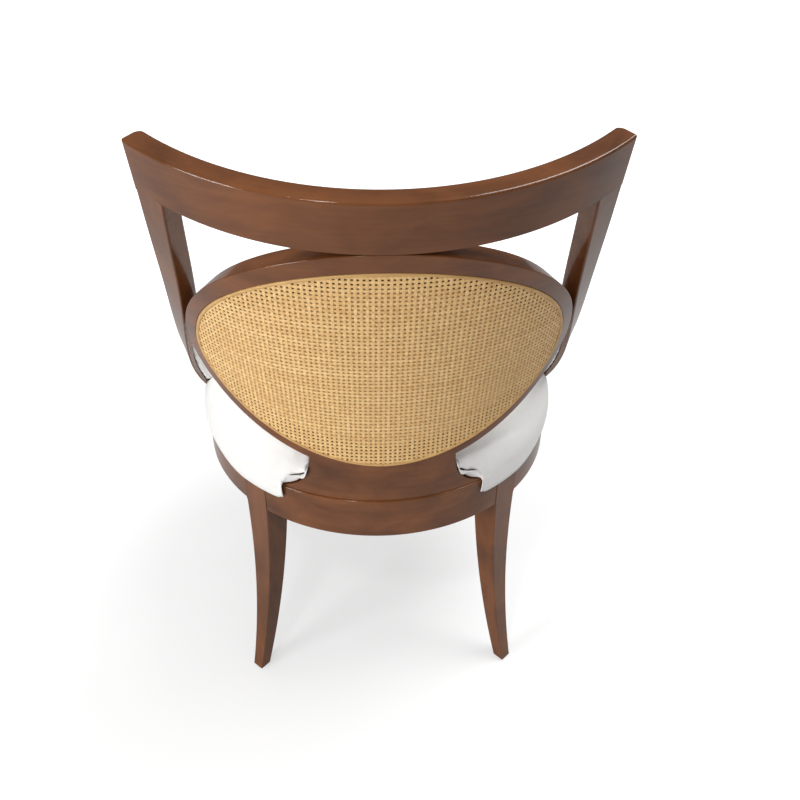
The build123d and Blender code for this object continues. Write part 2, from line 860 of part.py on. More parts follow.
def seat_board():
    """The plywood board of the seat, on top of the rails."""
    board = Pos(0, 0, rail_top) * extrude(Circle(ring_radius - seat_board_inset), seat_board_thickness)
    holes = [at_leg(turn) * seat_screw(screw_clearance) for turn in leg_turns]
    return board - (seat_notches(cover_thickness + soft_clearance) + holes)


def seat_cover():
    """The cloth over the seat, over the edge of the rails and into the notches."""
    ring = Pos(0, 0, rail_top - 2 * seat_hem_drop) * Circle(ring_radius + seat_hem_clearance)
    ring = extrude(ring, 2 * seat_hem_drop + soft_clearance)
    return seat_form(0) - [seat_form(cover_thickness, cover_thickness), ring]


def seat_foam():
    """The foam inside the seat cover, round the edge of the board."""
    foam = seat_form(cover_thickness + soft_clearance, cover_thickness + soft_clearance)
    foam = split(foam, bisect_by=Plane.XY.offset(rail_top + soft_clearance), keep=Keep.TOP)
    board_radius_here = ring_radius - seat_board_inset + soft_clearance
    top = rail_top + seat_board_thickness + soft_clearance
    return foam - extrude(Pos(0, 0, rail_top) * Circle(board_radius_here), top - rail_top)


def dust_cover():
    """The thin dark cloth under the seat board, inside the ring."""
    radius = ring_radius - rail_thickness - soft_clearance
    sheet = Pos(0, 0, rail_top - dust_cover_thickness) * extrude(Circle(radius), dust_cover_thickness)
    posts = [at_leg(turn) * leg_post(soft_clearance) for turn in leg_turns]
    holes = [at_leg(turn) * seat_screw(screw_clearance) for turn in leg_turns]
    return sheet - (posts + holes)


def all_nodes():
    """Every piece of the chair under its own name."""
    nodes = {
        "crest_rail": with_holes(crest_rail()),
        "stile_left": with_holes(stile(1)),
        "stile_right": with_holes(stile(-1)),
        "stile_facing_left": stile_facing(1),
        "stile_facing_right": stile_facing(-1),
        "back_frame_top": with_holes(frame_top()),
        "back_frame_left": with_holes(frame_side(1)),
        "back_frame_right": with_holes(frame_side(-1)),
        "back_pedestal": with_holes(pedestal()),
        "cane_panel": cane_panel(),
        "cane_spline": cane_spline(),
        "back_lining": back_lining(),
        "back_pad_board": back_pad_board(),
        "back_pad_foam": back_pad_foam(),
        "back_pad_cover": back_pad_cover(),
        "back_pad_welt": back_pad_welt(),
        "rear_rail": rail(-leg_turn, leg_turn),
        "front_rail": rail(half_turn - leg_turn, half_turn + leg_turn),
        "side_rail_left": rail(leg_turn, half_turn - leg_turn),
        "side_rail_right": rail(half_turn + leg_turn, full_turn - leg_turn),
        "seat_board": seat_board(),
        "seat_foam": seat_foam(),
        "seat_cover": seat_cover(),
        "dust_cover": dust_cover(),
        "glides": glides(),
        "back_dowels": back_dowel_rods(),
        "foot_dowels": foot_dowel_rods(),
    }
    corners = ["rear_left", "rear_right", "front_left", "front_right"]
    for corner, turn in zip(corners, leg_turns):
        nodes[f"{corner.split('_')[0]}_leg_{corner.split('_')[1]}"] = leg(turn)
        nodes[f"corner_block_{corner}"] = corner_block(turn)
    nodes["rail_dowels"] = [at_leg(turn) * dowel for turn in leg_turns for dowel in rail_dowel_rods()]
    nodes["corner_block_screws"] = [at_leg(turn) * piece for turn in leg_turns for piece in block_screws()]
    nodes["seat_screws"] = [at_leg(turn) * seat_screw() for turn in leg_turns]
    return nodes


def solids_of(pieces):
    """The solids of one piece or of a list of like pieces."""
    group = pieces if isinstance(pieces, list) else [pieces]
    return [solid for piece in group for solid in piece.solids()]


nodes = {name: solids_of(pieces) for name, pieces in all_nodes().items()}
boxes = [solid.bounding_box() for solids in nodes.values() for solid in solids]
front_reach = min(box.min.Y for box in boxes)
rear_reach = max(box.max.Y for box in boxes)
to_origin = Pos(0, -(front_reach + rear_reach) / 2, 0)
os.makedirs("parts", exist_ok=True)
for name, solids in nodes.items():
    moved = [to_origin * solid for solid in solids]
    shape = moved[0] if len(moved) == 1 else Compound(moved)
    export_step(shape, f"parts/{name}.step")
print("the seat ring's centre lies at Y", -(front_reach + rear_reach) / 2)
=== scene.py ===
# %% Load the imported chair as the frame
import math
import bpy
from mathutils import Matrix, Vector


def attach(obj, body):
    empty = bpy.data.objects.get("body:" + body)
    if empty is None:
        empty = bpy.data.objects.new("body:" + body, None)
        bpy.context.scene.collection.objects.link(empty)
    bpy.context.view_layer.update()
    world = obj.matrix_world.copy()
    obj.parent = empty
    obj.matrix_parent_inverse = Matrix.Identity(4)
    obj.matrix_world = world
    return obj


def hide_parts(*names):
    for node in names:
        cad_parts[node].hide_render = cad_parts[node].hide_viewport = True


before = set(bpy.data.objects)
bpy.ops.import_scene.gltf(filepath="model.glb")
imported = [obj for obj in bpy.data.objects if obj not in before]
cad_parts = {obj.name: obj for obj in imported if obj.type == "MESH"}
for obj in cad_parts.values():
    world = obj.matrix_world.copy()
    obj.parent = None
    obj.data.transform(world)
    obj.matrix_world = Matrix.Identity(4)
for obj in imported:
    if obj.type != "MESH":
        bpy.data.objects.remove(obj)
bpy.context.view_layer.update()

# %% [markdown]
# # An upholstered dining chair with a caned oval back
#
# This lesson dresses the chair's frame. The wooden pieces are already in the frame at their real size,
# so they only need a finish. The soft pieces and the woven cane are made here: the seat cushion and the
# inside back are inflated as cloth, the cane is woven strand by strand, and the hems and welts are added.
# Everything is in metres. The sitter faces -Y, and the floor is at Z = 0.

# %% [markdown]
# ## Working with operators
#
# Blender's operators act on whatever is selected, as they do by hand. So each helper first selects the one
# piece that it works on. Every finished piece is named, gets its material and rides on the chair's one
# body, because nothing on this chair moves.

# %% Small helpers for operators
def only(piece):
    """Selects one piece alone and makes it the active one."""
    bpy.ops.object.select_all(action="DESELECT")
    piece.select_set(True)
    bpy.context.view_layer.objects.active = piece


def added():
    """The piece that an operator has just added, selected alone."""
    piece = bpy.context.view_layer.objects.active
    only(piece)
    return piece


def apply_modifier(piece, kind, **settings):
    """Adds a modifier with these settings and applies it."""
    only(piece)
    modifier = piece.modifiers.new(kind.title(), kind)
    for name, value in settings.items():
        setattr(modifier, name, value)
    bpy.ops.object.modifier_apply(modifier=modifier.name)


def settle(piece, name, material):
    """Names a finished piece, gives it its material and lets it ride on the chair."""
    only(piece)
    bpy.ops.object.transform_apply(location=True, rotation=True, scale=True)
    piece.name = name
    piece.data.name = name
    piece.data.materials.clear()
    piece.data.materials.append(material)
    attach(piece, "root")
    print(name, len(piece.data.vertices), "vertices")
    return piece


def joined(pieces):
    """Several pieces joined into one."""
    bpy.ops.object.select_all(action="DESELECT")
    for piece in pieces:
        piece.select_set(True)
    bpy.context.view_layer.objects.active = pieces[0]
    bpy.ops.object.join()
    return pieces[0]


# %% [markdown]
# ## The bent board
#
# The crest rail, the stiles and the oval are all cut from one imagined board. It is bent round the sitter,
# opens out towards the top and leans back. A place on it is an angle round the ring, a height and a depth
# in from its rear face. The same few numbers as in the frame give the cane and the padding their places.

# %% The board's shape
RING_Y = -0.0466937
RING_RADIUS = 0.260
RAIL_TOP = 0.400
CREST_TOP = 0.863
CREST_SETBACK = 0.362
CREST_RADIUS = 0.349
BOARD_LEDGE = 0.0025
BOARD_THICKNESS = 0.0235
RECLINE = math.tan(math.radians(13.8))
FOOT_SLOPE = -0.05


def board_radius(height):
    """Plan radius of the board's rear face at a height."""
    return RING_RADIUS + (CREST_RADIUS - RING_RADIUS) * (height - RAIL_TOP) / (CREST_TOP - RAIL_TOP)


def board_rear(height):
    """Y of the board's rear face on the centre line, measured from the ring's centre."""
    span = CREST_TOP - RAIL_TOP
    t = (height - RAIL_TOP) / span
    start = RING_RADIUS - BOARD_LEDGE
    near = 2 * t**3 - 3 * t**2 + 1
    slopes = FOOT_SLOPE * (t**3 - 2 * t**2 + t) + RECLINE * (t**3 - t**2)
    return start * near + CREST_SETBACK * (1 - near) + span * slopes


def board_normal(angle, height):
    """The way that the board's rear face looks."""
    step = 0.001
    opening = (board_radius(height + step) - board_radius(height - step)) / (2 * step)
    leaning = (board_rear(height + step) - board_rear(height - step)) / (2 * step)
    slope = opening + (leaning - opening) * math.cos(angle)
    return Vector((math.sin(angle), math.cos(angle), -slope)).normalized()


def board_point(angle, height, depth=0.0):
    """A place on the board, from its angle in radians, its height and its depth."""
    radius = board_radius(height)
    y = RING_Y + board_rear(height) - radius * (1 - math.cos(angle))
    return Vector((radius * math.sin(angle), y, height)) - board_normal(angle, height) * depth


print("the board leans back", round(board_rear(CREST_TOP) - board_rear(RAIL_TOP), 3), "m")

# %% [markdown]
# The oval has a true ellipse above and a slightly fuller curve below. Each line of the frame is the same
# oval, drawn in a little further: the face, the groove for the reed, the cane, the lip and the padding.

# %% The oval's lines
OVAL_HEIGHT = 0.605
LOWER_POWER = 1.8


class Oval:
    """One oval line, from its half width and its reach above and below the middle."""

    def __init__(self, half_width, rise, drop):
        self.half_width = half_width
        self.rise = rise
        self.drop = drop

    def inset(self, side, top, bottom):
        return Oval(self.half_width - side, self.rise - top, self.drop - bottom)

    def top(self, x):
        share = min(1.0, abs(x) / self.half_width)
        return OVAL_HEIGHT + self.rise * math.sqrt(1 - share**2)

    def bottom(self, x):
        share = min(1.0, abs(x) / self.half_width)
        return OVAL_HEIGHT - self.drop * (1 - share**LOWER_POWER) ** (1 / LOWER_POWER)

    def width_at(self, height):
        """Half the width at a height."""
        if height >= OVAL_HEIGHT:
            share = min(1.0, (height - OVAL_HEIGHT) / self.rise)
            return self.half_width * math.sqrt(1 - share**2)
        share = min(1.0, (OVAL_HEIGHT - height) / self.drop)
        return self.half_width * (1 - share**LOWER_POWER) ** (1 / LOWER_POWER)

    def place(self, angle):
        """X and height at an angle round the oval, counted from its left side upwards."""
        if math.sin(angle) >= 0:
            return self.half_width * math.cos(angle), OVAL_HEIGHT + self.rise * math.sin(angle)
        across = abs(math.cos(angle)) ** (2 / LOWER_POWER)
        down = abs(math.sin(angle)) ** (2 / LOWER_POWER)
        return math.copysign(self.half_width * across, math.cos(angle)), OVAL_HEIGHT - self.drop * down


outer_line = Oval(0.2405, 0.1989, 0.157)
groove_line = outer_line.inset(0.0145, 0.023, 0.0125)
cane_line = groove_line.inset(0.0046, 0.0046, 0.0046)
lip_line = cane_line.inset(0.023, 0.016, 0.030)
pad_line = outer_line.inset(0.012, 0.012, 0.012)
print("the cane is", round(2 * cane_line.half_width, 3), "m wide")

# %% [markdown]
# ## Finishes
#
# A finish that several materials share is a node group with named sockets. The first group turns a place
# on the chair into a place along the ring, because wood grain follows the bent rails and cloth is wrapped
# round the seat. Facing is 1 to measure from the rear, and -1 from the front, so that the seam of the
# pattern never shows on the piece.

# %% Helpers for node trees
def new_group(name, inputs, outputs):
    """An empty shader group with named sockets."""
    group = bpy.data.node_groups.new(name, "ShaderNodeTree")
    for label, kind, value in inputs:
        socket = group.interface.new_socket(name=label, in_out="INPUT", socket_type=kind)
        if value is not None:
            socket.default_value = value
    for label, kind in outputs:
        group.interface.new_socket(name=label, in_out="OUTPUT", socket_type=kind)
    return group, group.nodes.new("NodeGroupInput"), group.nodes.new("NodeGroupOutput")


def put(tree, kind, settings=None, inputs=None):
    """Adds a node with its settings, and fills or links its inputs."""
    node = tree.nodes.new(kind)
    for name, value in (settings or {}).items():
        setattr(node, name, value)
    for name, value in (inputs or {}).items():
        if isinstance(value, bpy.types.NodeSocket):
            tree.links.new(value, node.inputs[name])
        else:
            node.inputs[name].default_value = value
    return node


def reckon(tree, operation, first, second=0.0):
    """One step of arithmetic in a node tree."""
    return put(tree, "ShaderNodeMath", {"operation": operation}, {0: first, 1: second}).outputs[0]


def blended(tree, amount, first, second):
    """A mix of two colours."""
    settings = {"data_type": "RGBA"}
    inputs = {"Factor": amount, 6: first, 7: second}
    return put(tree, "ShaderNodeMix", settings, inputs).outputs[2]


def ranged(tree, value, low, high, new_low=0.0, new_high=1.0):
    """Maps a range of values onto another one."""
    inputs = {0: value, 1: low, 2: high, 3: new_low, 4: new_high}
    return put(tree, "ShaderNodeMapRange", None, inputs).outputs[0]


def stood_up(tree, vector):
    """A vector whose first axis now runs upright."""
    parts = put(tree, "ShaderNodeSeparateXYZ", None, {0: vector})
    inputs = {0: parts.outputs["Z"], 1: parts.outputs["X"], 2: parts.outputs["Y"]}
    return put(tree, "ShaderNodeCombineXYZ", None, inputs).outputs[0]


def noise(tree, vector, stretch, detail=4.0, distortion=0.0):
    """Noise in a vector that is stretched along its own axes."""
    mapped = put(tree, "ShaderNodeMapping", None, {"Vector": vector, "Scale": stretch}).outputs[0]
    inputs = {"Vector": mapped, "Scale": 1.0, "Detail": detail, "Distortion": distortion}
    return put(tree, "ShaderNodeTexNoise", None, inputs).outputs["Fac"]


# %% A place on the chair as a place along the ring
PATTERN_RADIUS = 0.3

along_ring, source, result = new_group(
    "along_the_ring",
    [("Place", "NodeSocketVector", None), ("Facing", "NodeSocketFloat", 1.0)],
    [("Along", "NodeSocketVector")],
)
parts = put(along_ring, "ShaderNodeSeparateXYZ", None, {0: source.outputs["Place"]})
inward = reckon(along_ring, "SUBTRACT", parts.outputs["Y"], RING_Y)
facing = reckon(along_ring, "MULTIPLY", inward, source.outputs["Facing"])
turn = reckon(along_ring, "ARCTAN2", parts.outputs["X"], facing)
arc = reckon(along_ring, "MULTIPLY", turn, PATTERN_RADIUS)
x_squared = reckon(along_ring, "POWER", parts.outputs["X"], 2.0)
y_squared = reckon(along_ring, "MULTIPLY", inward, inward)
radius = reckon(along_ring, "SQRT", reckon(along_ring, "ADD", x_squared, y_squared))
place = put(along_ring, "ShaderNodeCombineXYZ", None, {0: arc, 1: radius, 2: parts.outputs["Z"]})
along_ring.links.new(place.outputs[0], result.inputs["Along"])
print("group", along_ring.name)

# %% [markdown]
# The wood is a close-grained hardwood, stained reddish brown and lacquered. The stain takes up unevenly,
# so soft clouds show more than the grain does: only faint streaks run along the piece, with finer lines
# over them. The grain group reads a vector whose X runs along the grain.

# %% The grain of the stained wood
GLOSS_LOW = 0.30
GLOSS_HIGH = 0.42

grain, source, result = new_group(
    "stained_grain",
    [
        ("Along", "NodeSocketVector", None),
        ("Light", "NodeSocketColor", (0.30, 0.12, 0.05, 1)),
        ("Dark", "NodeSocketColor", (0.06, 0.02, 0.01, 1)),
    ],
    [("Color", "NodeSocketColor"), ("Height", "NodeSocketFloat"), ("Gloss", "NodeSocketFloat")],
)
along = source.outputs["Along"]
streaks = noise(grain, along, (4.0, 45.0, 45.0), 6.0, 0.6)
lines = noise(grain, along, (14.0, 420.0, 420.0), 5.0, 0.2)
clouds = noise(grain, along, (13.0, 26.0, 26.0), 4.0, 0.5)
pores = noise(grain, along, (70.0, 1500.0, 1500.0), 2.0)
tone = reckon(grain, "MULTIPLY", streaks, 0.22)
tone = reckon(grain, "ADD", tone, reckon(grain, "MULTIPLY", lines, 0.14))
tone = reckon(grain, "ADD", tone, reckon(grain, "MULTIPLY", clouds, 0.64))
spread = ranged(grain, tone, 0.30, 0.70)
stain = blended(grain, spread, source.outputs["Dark"], source.outputs["Light"])
pore_mask = ranged(grain, pores, 0.60, 0.72, 0.0, 0.18)
stain = blended(grain, pore_mask, stain, source.outputs["Dark"])
height = reckon(grain, "SUBTRACT", reckon(grain, "MULTIPLY", lines, 0.6), pore_mask)
grain.links.new(stain, result.inputs["Color"])
grain.links.new(height, result.inputs["Height"])
grain.links.new(ranged(grain, clouds, 0.3, 0.7, GLOSS_LOW, GLOSS_HIGH), result.inputs["Gloss"])
print("group", grain.name)

# %% [markdown]
# Cloth is a plain weave. Two sine waves across each other give its threads, and a little noise makes them
# uneven, so that a close view shows a woven surface and not a smooth one.

# %% The weave of cloth
weave, source, result = new_group(
    "plain_weave",
    [("Along", "NodeSocketVector", None), ("Threads", "NodeSocketFloat", 1400.0)],
    [("Height", "NodeSocketFloat"), ("Shade", "NodeSocketFloat")],
)
uneven = noise(weave, source.outputs["Along"], (90.0, 90.0, 90.0), 3.0)
parts = put(weave, "ShaderNodeSeparateXYZ", None, {0: source.outputs["Along"]})
waves = []
for axis in ("X", "Y"):
    steps = reckon(weave, "MULTIPLY", parts.outputs[axis], source.outputs["Threads"])
    steps = reckon(weave, "MULTIPLY", steps, math.pi)
    waves.append(reckon(weave, "SINE", reckon(weave, "ADD", steps, uneven)))
crossing = reckon(weave, "MULTIPLY", waves[0], waves[1])
height = reckon(weave, "ADD", crossing, reckon(weave, "MULTIPLY", uneven, 1.5))
weave.links.new(height, result.inputs["Height"])
# Shade is partly painted shade, darker in the hollows between the threads, and partly uneven tone from the
# noise.
weave.links.new(ranged(weave, height, -1.0, 2.0), result.inputs["Shade"])
print("group", weave.name)

# %% [markdown]
# Cane is the split skin of a climbing palm: pale, a little glossy, with fine fibres along each strand.
# The tone changes from strand to strand, because each comes from another stem, so one of the noises is
# drawn out along the strands and changes quickly across them.

# %% The fibres of a cane strand
fibres, source, result = new_group(
    "strand_fibres",
    [
        ("Along", "NodeSocketVector", None),
        ("Pale", "NodeSocketColor", (0.86, 0.60, 0.28, 1)),
        ("Deep", "NodeSocketColor", (0.55, 0.31, 0.11, 1)),
    ],
    [("Color", "NodeSocketColor"), ("Height", "NodeSocketFloat")],
)
along = source.outputs["Along"]
fine = noise(fibres, along, (25.0, 2600.0, 2600.0), 3.0)
stems = noise(fibres, along, (2.5, 160.0, 160.0), 2.0)
knots = noise(fibres, along, (60.0, 260.0, 260.0), 2.0)
tone = reckon(fibres, "MULTIPLY", fine, 0.35)
tone = reckon(fibres, "ADD", tone, reckon(fibres, "MULTIPLY", stems, 0.65))
tone = reckon(fibres, "ADD", tone, reckon(fibres, "MULTIPLY", knots, 0.2))
tone = ranged(fibres, tone, 0.42, 0.78)
strand_tone = blended(fibres, tone, source.outputs["Deep"], source.outputs["Pale"])
fibres.links.new(strand_tone, result.inputs["Color"])
fibres.links.new(fine, result.inputs["Height"])
print("group", fibres.name)

# %% Helpers for materials
def placed(tree, group, inputs):
    """Places a shared group in a material."""
    return put(tree, "ShaderNodeGroup", {"node_tree": group}, inputs)


def new_material(name, **constants):
    """A material with its shader, its tree and the object's own coordinates."""
    material = bpy.data.materials.new(name)
    material.use_nodes = True
    tree = material.node_tree
    shader = tree.nodes["Principled BSDF"]
    for label, value in constants.items():
        shader.inputs[label.replace("_", " ")].default_value = value
    coordinates = tree.nodes.new("ShaderNodeTexCoord")
    return material, tree, shader, coordinates.outputs["Object"]


def bump(tree, shader, height, strength, distance):
    """Feeds a height to the shader's normal."""
    inputs = {"Height": height, "Strength": strength, "Distance": distance}
    tree.links.new(put(tree, "ShaderNodeBump", None, inputs).outputs[0], shader.inputs["Normal"])


# %% Lacquered wood, along the ring, round the front and upright
WOOD_LIGHT = (0.220, 0.075, 0.022, 1)
WOOD_DARK = (0.075, 0.024, 0.007, 1)


def lacquered(name, run, facing=1.0):
    """Stained and lacquered wood whose grain runs round the ring or upright."""
    material, tree, shader, here = new_material(
        name, Coat_Weight=0.85, Coat_Roughness=0.09, Coat_IOR=1.5, Specular_IOR_Level=0.05
    )
    if run == "round":
        along = placed(tree, along_ring, {"Place": here, "Facing": facing}).outputs["Along"]
    else:
        along = stood_up(tree, here)
    figure = placed(tree, grain, {"Along": along, "Light": WOOD_LIGHT, "Dark": WOOD_DARK})
    tree.links.new(figure.outputs["Color"], shader.inputs["Base Color"])
    tree.links.new(figure.outputs["Gloss"], shader.inputs["Roughness"])
    bump(tree, shader, figure.outputs["Height"], 0.25, 0.00015)
    return material


wood_round = lacquered("lacquered_wood_round", "round")
wood_front = lacquered("lacquered_wood_front", "round", -1.0)
wood_upright = lacquered("lacquered_wood_upright", "upright")
print("wood", wood_round.name, wood_front.name, wood_upright.name)

# %% Bare beech, plywood, steel and plastic for the pieces inside
def bare_wood(name, light, dark):
    """Unfinished wood."""
    material, tree, shader, here = new_material(name)
    figure = placed(tree, grain, {"Along": here, "Light": light, "Dark": dark})
    tree.links.new(figure.outputs["Color"], shader.inputs["Base Color"])
    rough = ranged(tree, figure.outputs["Gloss"], GLOSS_LOW, GLOSS_HIGH, 0.6, 0.8)
    tree.links.new(rough, shader.inputs["Roughness"])
    bump(tree, shader, figure.outputs["Height"], 0.4, 0.0002)
    return material


def speckled(name, colour, darker, scale, rough, **constants):
    """A plain hard material with fine speckle in its colour and roughness."""
    material, tree, shader, here = new_material(name, **constants)
    grains = noise(tree, here, (scale, scale, scale), 4.0)
    tree.links.new(blended(tree, grains, darker, colour), shader.inputs["Base Color"])
    tree.links.new(ranged(tree, grains, 0.3, 0.7, rough, rough + 0.15), shader.inputs["Roughness"])
    bump(tree, shader, grains, 0.2, 0.0001)
    return material


beech = bare_wood("bare_beech", (0.62, 0.42, 0.24, 1), (0.42, 0.26, 0.13, 1))
plywood = bare_wood("plywood", (0.60, 0.43, 0.25, 1), (0.46, 0.30, 0.16, 1))
steel = speckled(
    "zinc_plated_steel", (0.62, 0.62, 0.64, 1), (0.45, 0.45, 0.47, 1), 900.0, 0.28, Metallic=1.0
)
plastic = speckled(
    "glide_plastic", (0.02, 0.018, 0.016, 1), (0.012, 0.011, 0.010, 1), 1500.0, 0.45
)
print("inside pieces", beech.name, plywood.name, steel.name, plastic.name)

# %% Cane strands of both directions, and the reed
def cane_finish(name, upright, pale, deep):
    """Cane with its fibres upright or round the back."""
    material, tree, shader, here = new_material(
        name, Coat_Weight=0.15, Coat_Roughness=0.3, Roughness=0.5
    )
    along = placed(tree, along_ring, {"Place": here}).outputs["Along"]
    if upright:
        along = stood_up(tree, along)
    strand_look = placed(tree, fibres, {"Along": along, "Pale": pale, "Deep": deep})
    tree.links.new(strand_look.outputs["Color"], shader.inputs["Base Color"])
    bump(tree, shader, strand_look.outputs["Height"], 0.35, 0.0001)
    return material


CANE_PALE = (0.93, 0.64, 0.29, 1)
CANE_DEEP = (0.68, 0.39, 0.14, 1)
cane_up = cane_finish("cane_upright", True, CANE_PALE, CANE_DEEP)
cane_round = cane_finish("cane_round", False, CANE_PALE, CANE_DEEP)
reed = cane_finish("reed", False, (0.70, 0.43, 0.16, 1), (0.50, 0.27, 0.09, 1))
print("cane", cane_up.name, cane_round.name, reed.name)

# %% Cloth for the seat, the inside back, the lining and the underside
def cloth_finish(name, colour, shadow, threads, depth, wrapped, **constants):
    """Woven cloth, laid flat on top and wrapped round the sides where that is asked."""
    material, tree, shader, here = new_material(name, Roughness=0.85, **constants)
    facing = -1.0 if wrapped else 1.0
    along = placed(tree, along_ring, {"Place": here, "Facing": facing}).outputs["Along"]
    parts = put(tree, "ShaderNodeSeparateXYZ", None, {0: along})
    inputs = {0: parts.outputs["X"], 1: parts.outputs["Z"]}
    side = put(tree, "ShaderNodeCombineXYZ", None, inputs).outputs[0]
    if wrapped:
        normal = put(tree, "ShaderNodeNewGeometry").outputs["Normal"]
        lift = put(tree, "ShaderNodeSeparateXYZ", None, {0: normal}).outputs["Z"]
        level = reckon(tree, "GREATER_THAN", reckon(tree, "ABSOLUTE", lift), 0.75)
        mix = put(tree, "ShaderNodeMix", {"data_type": "VECTOR"}, {0: level, 4: side, 5: here})
        side = mix.outputs[1]
    threads_here = placed(tree, weave, {"Along": side, "Threads": threads})
    # Mixing in the shadow colour paints shade into the hollows of the weave, with some uneven tone from
    # its noise.
    shaded = blended(tree, threads_here.outputs["Shade"], shadow, colour)
    tree.links.new(shaded, shader.inputs["Base Color"])
    bump(tree, shader, threads_here.outputs["Height"], 0.5, depth)
    return material


WHITE = (0.90, 0.89, 0.87, 1)
WHITE_SHADOW = (0.80, 0.79, 0.77, 1)
white_cloth = cloth_finish(
    "white_cloth", WHITE, WHITE_SHADOW, 1500.0, 0.00012, True, Sheen_Weight=0.25
)
back_cloth = cloth_finish(
    "white_back_cloth", WHITE, WHITE_SHADOW, 1500.0, 0.00012, False, Sheen_Weight=0.25
)
lining_cloth = cloth_finish(
    "lining_cloth", (0.96, 0.75, 0.45, 1), (0.86, 0.62, 0.34, 1), 900.0, 0.0002, False
)
under_cloth = cloth_finish(
    "under_cloth", (0.018, 0.018, 0.019, 1), (0.010, 0.010, 0.010, 1), 700.0, 0.0002, True
)
print("cloth", white_cloth.name, back_cloth.name, lining_cloth.name, under_cloth.name)

# %% Finish the pieces of the frame
finishes = {
    wood_round: [
        "crest_rail", "back_frame_top", "back_frame_left", "back_frame_right", "back_pedestal",
        "rear_rail", "side_rail_left", "side_rail_right",
    ],
    wood_front: ["front_rail"],
    wood_upright: [
        "stile_left", "stile_right", "rear_leg_left", "rear_leg_right", "front_leg_left",
        "front_leg_right",
    ],
    beech: [
        "corner_block_rear_left", "corner_block_rear_right", "corner_block_front_left",
        "corner_block_front_right", "rail_dowels", "foot_dowels", "back_dowels",
    ],
    plywood: ["seat_board", "back_pad_board"],
    steel: ["corner_block_screws", "seat_screws"],
    plastic: ["glides"],
    reed: ["cane_spline"],
}
for material, names in finishes.items():
    for name in names:
        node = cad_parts[name]
        node.data.materials.clear()
        node.data.materials.append(material)
print("finished", sum(len(names) for names in finishes.values()), "pieces of the frame")

# %% [markdown]
# ## The woven cane
#
# The sheet is an open square weave: upright strands and cross strands go over and under each other, about
# 6 mm apart. Each strand is a narrow strip that waves in and out, with a slight crown across it. A bump
# map would look flat here, because the light passes through the holes onto the lining behind, so every
# strand is real. Each runs from edge to edge of the oval, and its ends go under the reed.

# %% Weave the cane
CANE_PITCH = 0.00612
ROW_PITCH = 0.0060
STRAND_WIDTH = 0.0034
STRAND_THICKNESS = 0.0005
STRAND_WAVE = 0.00034
STRAND_CROWN = 0.00012
STRAND_DEPTH = 0.00112
UNDER_REED = 0.0008
FEWEST_CROSSINGS = 4
STEPS_PER_CROSSING = 4
cane_edge = cane_line.inset(-UNDER_REED, -UNDER_REED, -UNDER_REED)


def column_ends(arc):
    """Lowest and highest point of an upright strand that lies this far round the back."""
    ends = []
    for limit in (cane_edge.bottom, cane_edge.top):
        height = OVAL_HEIGHT
        for _ in range(8):
            x = board_radius(height) * math.sin(arc / board_radius(height))
            height = limit(x)
        ends.append(height)
    return ends


def strand(start, end, pitch, crossing_phase, to_board):
    """A strip from start to end, waved over and under, then bent onto the board."""
    segments = max(STEPS_PER_CROSSING, round((end - start) / pitch * STEPS_PER_CROSSING))
    bpy.ops.mesh.primitive_grid_add(x_subdivisions=segments, y_subdivisions=2, size=1)
    strip = added()
    for vertex in strip.data.vertices:
        along = start + (vertex.co.x + 0.5) * (end - start)
        across = vertex.co.y * STRAND_WIDTH
        crown = STRAND_CROWN * (1 - (2 * vertex.co.y) ** 2)
        wave = STRAND_WAVE * math.cos(math.pi * along / pitch + crossing_phase)
        vertex.co = to_board(along, across, STRAND_DEPTH - wave - crown)
    return strip


def weave_columns():
    """All the upright strands."""
    strips = []
    bend_allowance = 1.13
    reach = int(cane_edge.half_width * bend_allowance / CANE_PITCH)
    for index in range(-reach, reach + 1):
        arc = index * CANE_PITCH
        low, high = column_ends(arc)
        if high - low < FEWEST_CROSSINGS * ROW_PITCH:
            continue

        def to_board(along, across, depth):
            return board_point((arc + across) / board_radius(along), along, depth)

        strips.append(strand(low, high, ROW_PITCH, math.pi * index, to_board))
    return strips


def weave_rows():
    """All the cross strands."""
    strips = []
    first = math.ceil((OVAL_HEIGHT - cane_edge.drop) / ROW_PITCH)
    last = math.floor((OVAL_HEIGHT + cane_edge.rise) / ROW_PITCH)
    for index in range(first, last + 1):
        height = index * ROW_PITCH
        half_width = cane_edge.width_at(height)
        if half_width < FEWEST_CROSSINGS * CANE_PITCH:
            continue
        reach = board_radius(height) * math.asin(half_width / board_radius(height))

        def to_board(along, across, depth):
            return board_point(along / board_radius(height), height + across, depth)

        strips.append(strand(-reach, reach, CANE_PITCH, math.pi * (index + 1), to_board))
    return strips


for name, strips, finish in (
    ("cane_columns", weave_columns(), cane_up),
    ("cane_rows", weave_rows(), cane_round),
):
    count = len(strips)
    piece = joined(strips)
    backwards = -1.0 if name == "cane_rows" else 1.0
    apply_modifier(piece, "SOLIDIFY", thickness=STRAND_THICKNESS, offset=backwards)
    only(piece)
    bpy.ops.object.shade_smooth_by_angle(angle=math.radians(50))
    settle(piece, name, finish)
    print(name, count, "strands")
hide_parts("cane_panel")

# %% [markdown]
# ## The padded pieces
#
# A padded piece starts as a plain closed form that is a little smaller than the real one. Its mesh is made
# even, and a short cloth simulation blows it up from the inside, so that it swells between its fixed edges
# as stuffed cloth does. The points that lie against wood are held, and no point may move further than a
# cap, so the piece stays in its place.

# %% Helpers for padded pieces
def lathe(profile, steps):
    """A round form about the ring's upright axis, from pairs of radius and height."""
    bpy.ops.mesh.primitive_grid_add(x_subdivisions=steps, y_subdivisions=len(profile) - 1, size=1)
    piece = added()
    for vertex in piece.data.vertices:
        angle = (vertex.co.x + 0.5) * 2 * math.pi
        radius, height = profile[round((vertex.co.y + 0.5) * (len(profile) - 1))]
        vertex.co = (radius * math.sin(angle), RING_Y + radius * math.cos(angle), height)
    closed(piece)
    return piece


